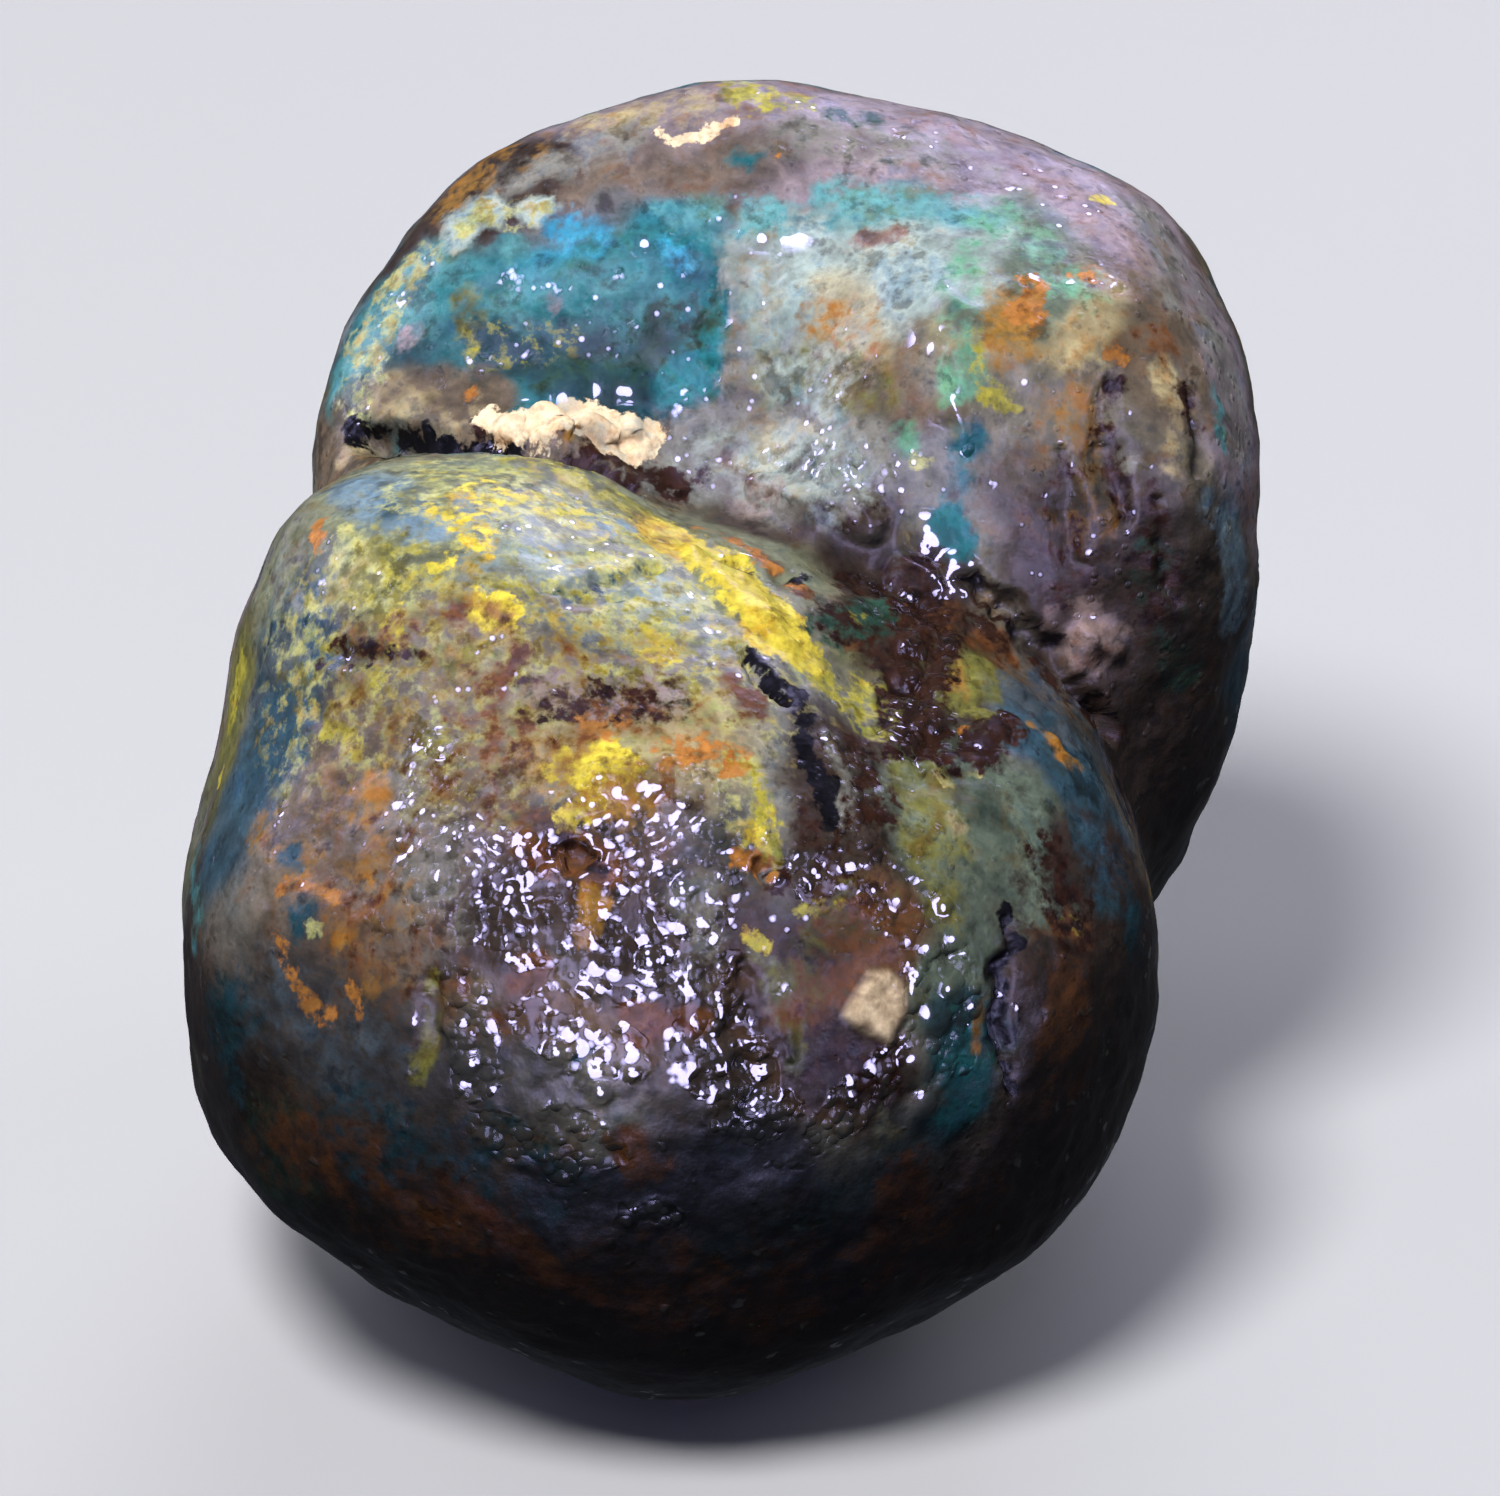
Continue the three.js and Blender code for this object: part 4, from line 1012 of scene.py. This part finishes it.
class Wiring:
    """Short calls that add and join nodes in one tree."""

    def __init__(self, tree):
        self.tree = tree

    def node(self, kind, **values):
        made = self.tree.nodes.new(kind)
        for key, value in values.items():
            setattr(made, key, value)
        return made

    def join(self, source, target):
        self.tree.links.new(source, target)

    def feed(self, node, **values):
        """Sets each named socket to a plain value, or links another socket to it."""
        for name, value in values.items():
            self.fill(node.inputs[name.replace("_", " ")], value)

    def fill(self, target, value):
        if isinstance(value, bpy.types.NodeSocket):
            self.join(value, target)
        else:
            target.default_value = value

    def math(self, operation, *values, clamp=False):
        made = self.node("ShaderNodeMath", operation=operation, use_clamp=clamp)
        for socket, value in zip(made.inputs, values):
            self.fill(socket, value)
        return made.outputs[0]

    def weigh(self, first, second, weights):
        """The first number times the first weight, the second times the second, and the third."""
        rest = self.math("MULTIPLY_ADD", second, *weights[1:])
        return self.math("MULTIPLY_ADD", first, weights[0], rest)

    def between(self, value, low, high, start=0.0, end=1.0):
        """Goes smoothly from the start to the end while the value goes from low to high."""
        made = self.node("ShaderNodeMapRange", interpolation_type="SMOOTHSTEP")
        self.feed(made, Value=value, From_Min=low, From_Max=high, To_Min=start, To_Max=end)
        return made.outputs["Result"]

    def mix(self, share, below, above, blend="MIX"):
        made = self.node("ShaderNodeMix", data_type="RGBA", blend_type=blend)
        colours = [socket for socket in made.inputs if socket.type == "RGBA"]
        self.fill(made.inputs["Factor"], share)
        self.fill(colours[0], below)
        self.fill(colours[1], above)
        return [socket for socket in made.outputs if socket.type == "RGBA"][0]

    def brightened(self, colour, value):
        """The colour, multiplied by a value that may come and go."""
        made = self.node("ShaderNodeHueSaturation")
        self.feed(made, Color=colour, Value=value)
        return made.outputs["Color"]

    def noise(self, where, size, detail=3.0, rough=0.55, swirl=0.0):
        """Noise, of the given size in millimetres."""
        made = self.node("ShaderNodeTexNoise")
        scale = 1 / (size * MM)
        self.feed(made, Vector=where, Scale=scale, Detail=detail, Roughness=rough, Distortion=swirl)
        return made

    def channels(self, colour):
        """The three parts of a colour, each as a number."""
        made = self.node("ShaderNodeSeparateColor")
        self.join(colour, made.inputs[0])
        return list(made.outputs)

    def attribute(self, name, part="Fac"):
        made = self.node("ShaderNodeAttribute", attribute_name=name, attribute_type="GEOMETRY")
        return made.outputs[part]


def new_group(name, inputs, outputs):
    """A shader node group with named sockets, and its wiring, input node and output node."""
    tree = bpy.data.node_groups.new(name, "ShaderNodeTree")
    for side, sockets in (("INPUT", inputs), ("OUTPUT", outputs)):
        for label, kind in sockets.items():
            tree.interface.new_socket(name=label, in_out=side, socket_type=f"NodeSocket{kind}")
    wire = Wiring(tree)
    return wire, wire.node("NodeGroupInput").outputs, wire.node("NodeGroupOutput").inputs


COVER_GAIN = 4.0  # how soon a fading cover lets the flecks come in


def patch_group():
    """Lays flecks of one pigment over what is below them, in two tones."""
    inputs = dict.fromkeys(("Below", "Light", "Dark"), "Color")
    inputs |= dict.fromkeys(("Cover", "Flecks", "Mottle", "Crispness", "Offset"), "Float")
    wire, given, out = new_group("Ragged patch", inputs, {"Color": "Color", "Mask": "Float"})
    near = wire.math("MULTIPLY", given["Cover"], COVER_GAIN, clamp=True)
    ragged = wire.math("MULTIPLY_ADD", near, given["Flecks"], given["Cover"])
    mask = wire.math("MULTIPLY_ADD", ragged, given["Crispness"], given["Offset"], clamp=True)
    tone = wire.mix(given["Mottle"], given["Dark"], given["Light"])
    wire.join(wire.mix(mask, given["Below"], tone), out["Color"])
    wire.join(mask, out["Mask"])
    return wire.tree


# Cells of the beads: size in millimetres, how narrow a bead is in its cell, how much its height
# varies, its least height, and the share of cells that are left empty.
CROWDED_BEADS = (
    (0.95, 2.5, 0.5, 0.5, 0.5),
    (0.48, 1.9, 0.6, 0.35, 0.1),
    (0.28, 1.8, 0.3, 0.1, 0.2),
)
LONE_BEADS = (0.40, 4.0, 0.2, 0.1, 0.3)
BEAD_SHINE = (6.0, -0.3)  # gain and level that turn a bead's height into gloss
GRAIN_NOISE = (0.35, 2.0, 0.5)  # size in millimetres, detail and roughness


def domes(wire, where, size, narrow, varied, least, empty):
    """Domes in the cells of a pattern, of random heights."""
    cell = wire.node("ShaderNodeTexVoronoi", feature="F1")
    wire.feed(cell, Vector=where, Scale=1 / (size * MM), Randomness=1.0)
    reach = wire.math("MULTIPLY", cell.outputs["Distance"], narrow)
    dome = wire.math("SUBTRACT", 1.0, wire.math("MULTIPLY", reach, reach), clamp=True)
    red, green, _ = wire.channels(cell.outputs["Color"])
    kept = wire.math("GREATER_THAN", green, empty)
    tall = wire.math("MULTIPLY_ADD", red, varied, least)
    return wire.math("MULTIPLY", dome, wire.math("MULTIPLY", tall, kept))


def beads_group():
    """Round beads of several sizes, as height, and where they shine."""
    inputs = {"Vector": "Vector", "Wet": "Float", "Damp": "Float", "Grain": "Float"}
    wire, given, out = new_group("Beads and grain", inputs, {"Height": "Float", "Shine": "Float"})
    where = given["Vector"]
    large, middling, small = (domes(wire, where, *beads) for beads in CROWDED_BEADS)
    crowd = wire.math("MAXIMUM", wire.math("MAXIMUM", large, middling), small)
    crowd = wire.math("MULTIPLY", crowd, given["Wet"])
    lone = wire.math("MULTIPLY", domes(wire, where, *LONE_BEADS), given["Damp"])
    beads = wire.math("MAXIMUM", crowd, lone)
    fine = wire.noise(where, *GRAIN_NOISE).outputs["Fac"]
    wire.join(wire.math("MULTIPLY_ADD", fine, given["Grain"], beads), out["Height"])
    wire.join(wire.math("MULTIPLY_ADD", beads, *BEAD_SHINE, clamp=True), out["Shine"])
    return wire.tree


# ---- The nodule's material ----------------------------------------------------------------------

FINE_FROM = 1.3  # pigments at least this crisp lie in fine flecks, and the others in soft clouds
CHIP_TONES = ("a38c70", "d4c0a4")
DIMMEST = 0.28  # painted shade: what is left of the colour at the foot
DRYNESS = 0.7  # how much of the gloss the cream chips lose
BEAD_HEIGHT = 0.11 * MM
WET_ROUGHNESS = 0.2
GLOSS = {"Coat_Roughness": 0.06, "Coat_IOR": 2.0, "IOR": 1.54, "Specular_IOR_Level": 0.2}

# Noises: size in millimetres, detail, roughness and swirl, as far as they are needed.
SMALL_NOISE = (0.42, 5.0, 0.62)
BROAD_NOISE = (1.5, 4.0, 0.55, 0.5)
WATER_NOISE = (0.8, 2.0)

# Weights of a small noise and a broad one, and the level that is added to them.
SOFT_FLECKS = (2.8, 3.4, -3.1)
FINE_FLECKS = (5.0, 1.2, -3.1)
GROUND_SHADE = (1.0, 2.2, -0.6)
STONE_SHADE = (1.3, 1.7, -0.5)
MATT = (0.4, 0.4, 0.2)  # the second weight is that of the dry parts

# Gain and level that turn a noise into a share.
MOTTLE = (2.6, -0.8)
CAST_SHARE = (1.8, -0.3)
WATER_SHARE = (2.4, -1.2)

# Casts that come and go over everything: which fleck noise places each one, its tint, and how strong
# it gets. A cast multiplies what is below it.
CASTS = (
    (1, "e0b078", 0.6),
    (5, "8ab0d8", 0.5),
    (6, "4a4038", 0.7),
)


def opaque(code):
    """A colour written as six hexadecimal digits, for a colour socket."""
    return (*linear(code), 1)


class Clouding:
    """The noises that break up the stains: small grain, broad clouds, and flecks made of both."""

    def __init__(self, wire, where):
        self.wire = wire
        self.small = wire.channels(wire.noise(where, *SMALL_NOISE).outputs["Color"])
        self.broad = wire.channels(wire.noise(where, *BROAD_NOISE).outputs["Color"])
        self.soft = self.flecks(SOFT_FLECKS)
        self.fine = self.flecks(FINE_FLECKS)
        self.small_mottles = self.mottles(self.small)
        self.broad_mottles = self.mottles(self.broad)

    def flecks(self, weights):
        """One noise around zero for each pair of a small grain and a broad cloud."""
        return [self.wire.weigh(small, broad, weights) for broad in self.broad for small in self.small]

    def mottles(self, grains):
        """Shares of the light tone, which the dark tone fills up."""
        return [self.wire.math("MULTIPLY_ADD", grain, *MOTTLE, clamp=True) for grain in grains]


def stained(wire, clouding, pigments, colour):
    """The colour with every pigment laid over it in turn, and the mask of each pigment."""
    patches = patch_group()
    masks = {}
    for order, (pigment, (_, _, crispness)) in enumerate(PIGMENTS.items()):
        is_fine = crispness >= FINE_FROM
        flecks = clouding.fine if is_fine else clouding.soft
        mottles = clouding.small_mottles if is_fine else clouding.broad_mottles
        layer = wire.node("ShaderNodeGroup", node_tree=patches, label=pigment)
        wire.feed(
            layer,
            Below=colour,
            Light=(*getattr(pigments, f"{pigment}_light"), 1),
            Dark=(*getattr(pigments, f"{pigment}_dark"), 1),
            Cover=wire.attribute(f"paint_{pigment}"),
            Flecks=flecks[order * 2 % len(flecks)],
            Mottle=mottles[(order + 1) % len(mottles)],
            Crispness=crispness,
            Offset=0.5 - 0.5 * crispness,
        )
        colour = layer.outputs["Color"]
        masks[pigment] = layer.outputs["Mask"]
    return colour, masks


def stone_colour(wire, clouding, pigments, chip):
    """Ground, stains, casts and chip, darkened towards the foot as painted shade, and the mask of each
    pigment.
    """
    small, broad = clouding.small, clouding.broad
    shade = wire.weigh(small[1], broad[1], GROUND_SHADE)
    colour = wire.brightened(wire.attribute("ground", "Color"), shade)
    colour, masks = stained(wire, clouding, pigments, colour)
    for order, code, strength in CASTS:
        share = wire.math("MULTIPLY_ADD", clouding.soft[order], *CAST_SHARE, clamp=True)
        colour = wire.mix(wire.math("MULTIPLY", share, strength), colour, opaque(code), "MULTIPLY")
    chip_tone = wire.mix(clouding.small_mottles[0], *(opaque(code) for code in CHIP_TONES))
    colour = wire.mix(chip, colour, chip_tone)
    # Painted shade: the colour dims towards the foot.
    painted_foot_shade = wire.between(wire.attribute("low"), 0.0, 0.85, 1.0, DIMMEST)
    grain = wire.weigh(small[0], broad[2], STONE_SHADE)
    return wire.brightened(colour, wire.math("MULTIPLY", painted_foot_shade, grain)), masks


def wet_gloss(wire, shader, clouding, where, dry):
    """Beads and drops of water with a clear gloss, which the dry parts don't have."""
    drop = wire.attribute("drop")
    patchy = wire.math("MULTIPLY_ADD", wire.noise(where, *WATER_NOISE).outputs["Fac"], *WATER_SHARE)
    wet = wire.between(wire.math("ADD", patchy, wire.attribute("wet")), 0.25, 0.6)
    beads = wire.node("ShaderNodeGroup", node_tree=beads_group())
    wire.feed(
        beads,
        Vector=where,
        Wet=wire.math("SUBTRACT", wet, drop, clamp=True),
        Damp=wire.between(wire.attribute("low"), 0.0, 0.4, 1.0, 0.0),
        Grain=wire.between(wire.math("MAXIMUM", wet, drop), 0.0, 1.0, 0.3, 0.05),
    )
    shine = wire.math("MAXIMUM", beads.outputs["Shine"], drop)
    matt = wire.weigh(clouding.small[2], dry, MATT)
    bump = wire.node("ShaderNodeBump")
    wire.feed(bump, Strength=1.0, Distance=BEAD_HEIGHT, Height=beads.outputs["Height"])
    wire.feed(
        shader,
        Coat_Weight=wire.math("SUBTRACT", shine, dry, clamp=True),
        Roughness=wire.between(wet, 0.0, 1.0, matt, WET_ROUGHNESS),
        Normal=bump.outputs["Normal"],
        **GLOSS,
    )


def amber_material(pigments):
    """Cloudy amber under a patchwork of stains, crusts and haze, with a wet gloss."""
    material = bpy.data.materials.new("Cloudy amber")
    material.use_nodes = True
    wire = Wiring(material.node_tree)
    shader = material.node_tree.nodes["Principled BSDF"]
    where = wire.node("ShaderNodeTexCoord").outputs["Object"]
    clouding = Clouding(wire, where)
    chip = wire.attribute("chip")
    colour, masks = stone_colour(wire, clouding, pigments, chip)
    wire.feed(shader, Base_Color=colour)
    dry = wire.math("MAXIMUM", chip, wire.math("MULTIPLY", masks["cream"], DRYNESS))
    wet_gloss(wire, shader, clouding, where, dry)
    return material


class AMBER_OT_nodule(bpy.types.Operator):
    """Makes the skin of the nodule, with its relief, its painted patches and its material"""

    bl_idname = "amber.nodule"
    bl_label = "Nodule skin"

    def execute(self, context):
        noise.seed_set(SEED)
        settings = context.scene.amber_nodule
        skin = skin_start(settings)
        refine(skin, front_faces(skin.data), "Even front")
        refine(skin, grainy_faces(skin.data), "Even grain")
        shape_relief(skin, settings)
        paint(skin, context.scene.amber_pigments)
        skin.vertex_groups.clear()
        make_active(skin)
        bpy.ops.object.shade_smooth()
        skin.data.materials.append(amber_material(context.scene.amber_pigments))
        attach(skin, "root")
        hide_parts(NODE)
        return {"FINISHED"}


# ---- The stage ----------------------------------------------------------------------------------

FLOOR_SIDES = 96
FLOOR_RADIUS = 0.5
WALL_STEPS = ((0.56, 0.01), (0.62, 0.05), (0.66, 0.12), (0.68, 0.3))  # radius and height of each ring
FLOOR_SHADES = (0.97, 1.03)  # the floor's colour comes and goes between these shares of it
FLOOR_CLOUDS = 60  # millimetres

LENS, SENSOR = 241, 36  # millimetres
NEAREST = 0.01  # metres
LOOK_AT = Vector((0.59, -11.02, 19.73)) * MM
AIR_COLOUR = (0.80, 0.86, 1.0, 1)
AIR_STRENGTH = 0.06

LIGHTS_AIM = Vector((0, 0, 13)) * MM
SOFT_DISTANCE = 0.42
SPARK_DISTANCE = 0.36
# Large lights that light the body of the stone: name, azimuth, elevation, size and colour.
SOFT_LIGHTS = (
    ("key", -32, 62, 0.14, (1.0, 0.97, 0.95)),
    ("right", 112, 30, 0.30, (0.96, 0.97, 1.0)),
    ("back", 170, 28, 0.30, (1.0, 0.98, 0.96)),
    ("left", -118, 30, 0.30, (0.96, 0.97, 1.0)),
)
# Small lights that only the wet skin mirrors: name, azimuth, elevation and size.
SPARK_LIGHTS = (
    ("high_spark", -30, 60, 0.15),
    ("spark", -14, 30, 0.12),
    ("low_spark", -6, 10, 0.20),
    ("right_spark", 46, 16, 0.14),
    ("back_spark", 160, 34, 0.14),
    ("left_spark", -110, 30, 0.14),
)
SPARK_TINT = (0.57, 0.53, 1.0)


def floor_material(colour):
    material = bpy.data.materials.new("Studio floor")
    material.use_nodes = True
    wire = Wiring(material.node_tree)
    shader = material.node_tree.nodes["Principled BSDF"]
    where = wire.node("ShaderNodeTexCoord").outputs["Object"]
    cloudy = wire.noise(where, FLOOR_CLOUDS).outputs["Fac"]
    shades = [(*(channel * level for channel in colour), 1) for level in FLOOR_SHADES]
    wire.feed(shader, Base_Color=wire.mix(cloudy, *shades), Roughness=0.7)
    return material


def make_floor(colour):
    """A wide round floor that turns up into a low wall."""
    deselect_all()
    bpy.ops.mesh.primitive_circle_add(vertices=FLOOR_SIDES, radius=FLOOR_RADIUS, fill_type="NGON")
    floor = bpy.context.object
    floor.name = "studio_floor"
    bpy.ops.object.mode_set(mode="EDIT")
    bpy.ops.mesh.select_all(action="SELECT")
    bpy.ops.mesh.select_mode(type="EDGE")
    bpy.ops.mesh.region_to_loop()
    radius, height = FLOOR_RADIUS, 0.0
    for wider, higher in WALL_STEPS:
        bpy.ops.mesh.extrude_edges_move(TRANSFORM_OT_translate={"value": (0, 0, higher - height)})
        grow = wider / radius
        bpy.ops.transform.resize(value=(grow, grow, 1), center_override=(0, 0, higher))
        radius, height = wider, higher
    bpy.ops.object.mode_set(mode="OBJECT")
    bpy.ops.object.shade_smooth()
    floor.data.materials.append(floor_material(colour))
    floor.visible_glossy = False  # the pale floor isn't mirrored in the wet skin
    floor.visible_diffuse = False  # and throws no light back on the dark foot of the stone


def aimed(thing, place, target):
    thing.location = place
    thing.rotation_euler = (target - place).to_track_quat("-Z", "Y").to_euler()


def around(azimuth, elevation, distance):
    """A place around the nodule; azimuth 0 is in front, and 90 is to the right."""
    turn, rise = math.radians(azimuth), math.radians(elevation)
    across = math.cos(rise)
    return Vector((math.sin(turn) * across, -math.cos(turn) * across, math.sin(rise))) * distance


def make_light(name, place, size, power, colour):
    """A round light that is turned to the middle of the nodule."""
    name = f"{name}_light".replace("_", " ").capitalize()
    light = bpy.data.lights.new(name, "AREA")
    light.shape = "DISK"
    light.size = size
    light.energy = power
    light.color = colour
    thing = bpy.data.objects.new(name, light)
    bpy.context.scene.collection.objects.link(thing)
    aimed(thing, LIGHTS_AIM + place, LIGHTS_AIM)
    return thing


def make_soft_lights(settings):
    for name, azimuth, elevation, size, colour in SOFT_LIGHTS:
        place = around(azimuth, elevation, SOFT_DISTANCE)
        light = make_light(name, place, size, getattr(settings, name), colour)
        light.visible_glossy = False


def make_spark_lights(sparkle):
    for name, azimuth, elevation, size in SPARK_LIGHTS:
        power = sparkle * math.pi * math.pi * size * size / 4
        place = around(azimuth, elevation, SPARK_DISTANCE)
        light = make_light(name, place, size, power, SPARK_TINT)
        light.visible_diffuse = False


def make_camera(settings):
    data = bpy.data.cameras.new("Camera")
    data.lens = LENS
    data.sensor_width = SENSOR
    data.clip_start = NEAREST
    camera = bpy.data.objects.new("Camera", data)
    bpy.context.scene.collection.objects.link(camera)
    place = LOOK_AT + around(0, math.degrees(settings.view_height), settings.view_distance)
    aimed(camera, place, LOOK_AT)
    bpy.context.scene.camera = camera


def make_air():
    """A faint even light from all around."""
    world = bpy.data.worlds.new("Studio air")
    world.use_nodes = True
    background = world.node_tree.nodes["Background"]
    background.inputs["Color"].default_value = AIR_COLOUR
    background.inputs["Strength"].default_value = AIR_STRENGTH
    bpy.context.scene.world = world


class AMBER_OT_stage(bpy.types.Operator):
    """Makes the floor, the lights, the air and the camera"""

    bl_idname = "amber.stage"
    bl_label = "Stage"

    def execute(self, context):
        scene = context.scene
        settings = scene.amber_stage
        make_floor(settings.floor)
        make_soft_lights(settings)
        make_spark_lights(settings.sparkle)
        make_air()
        make_camera(settings)
        scene.view_settings.view_transform = "Standard"
        scene.view_settings.look = "None"
        return {"FINISHED"}


# ---- The add-on ---------------------------------------------------------------------------------


class AMBER_PT_panel(bpy.types.Panel):
    """Lists what makes the specimen"""

    bl_idname = "AMBER_PT_panel"
    bl_label = "Amber specimen"
    bl_space_type = "VIEW_3D"
    bl_region_type = "UI"
    bl_category = "Amber"

    def draw(self, context):
        layout = self.layout
        for title, operator, settings in (
            ("Nodule", AMBER_OT_nodule.bl_idname, context.scene.amber_nodule),
            ("Stage", AMBER_OT_stage.bl_idname, context.scene.amber_stage),
            ("Pigments", None, context.scene.amber_pigments),
        ):
            box = layout.box()
            box.label(text=title)
            for name in settings.bl_rna.properties.keys():
                if name not in ("rna_type", "name"):
                    box.prop(settings, name)
            if operator:
                box.operator(operator)


SETTINGS = {"amber_pigments": AmberPigments, "amber_nodule": AmberNodule, "amber_stage": AmberStage}
CLASSES = (*SETTINGS.values(), AMBER_OT_nodule, AMBER_OT_stage, AMBER_PT_panel)


def register():
    for each in CLASSES:
        bpy.utils.register_class(each)
    for name, group in SETTINGS.items():
        setattr(bpy.types.Scene, name, PointerProperty(type=group))


def unregister():
    for name in SETTINGS:
        delattr(bpy.types.Scene, name)
    for each in reversed(CLASSES):
        bpy.utils.unregister_class(each)


def main():
    register()
    bpy.ops.amber.stage()
    bpy.ops.amber.nodule()


if __name__ == "__main__":
    main()
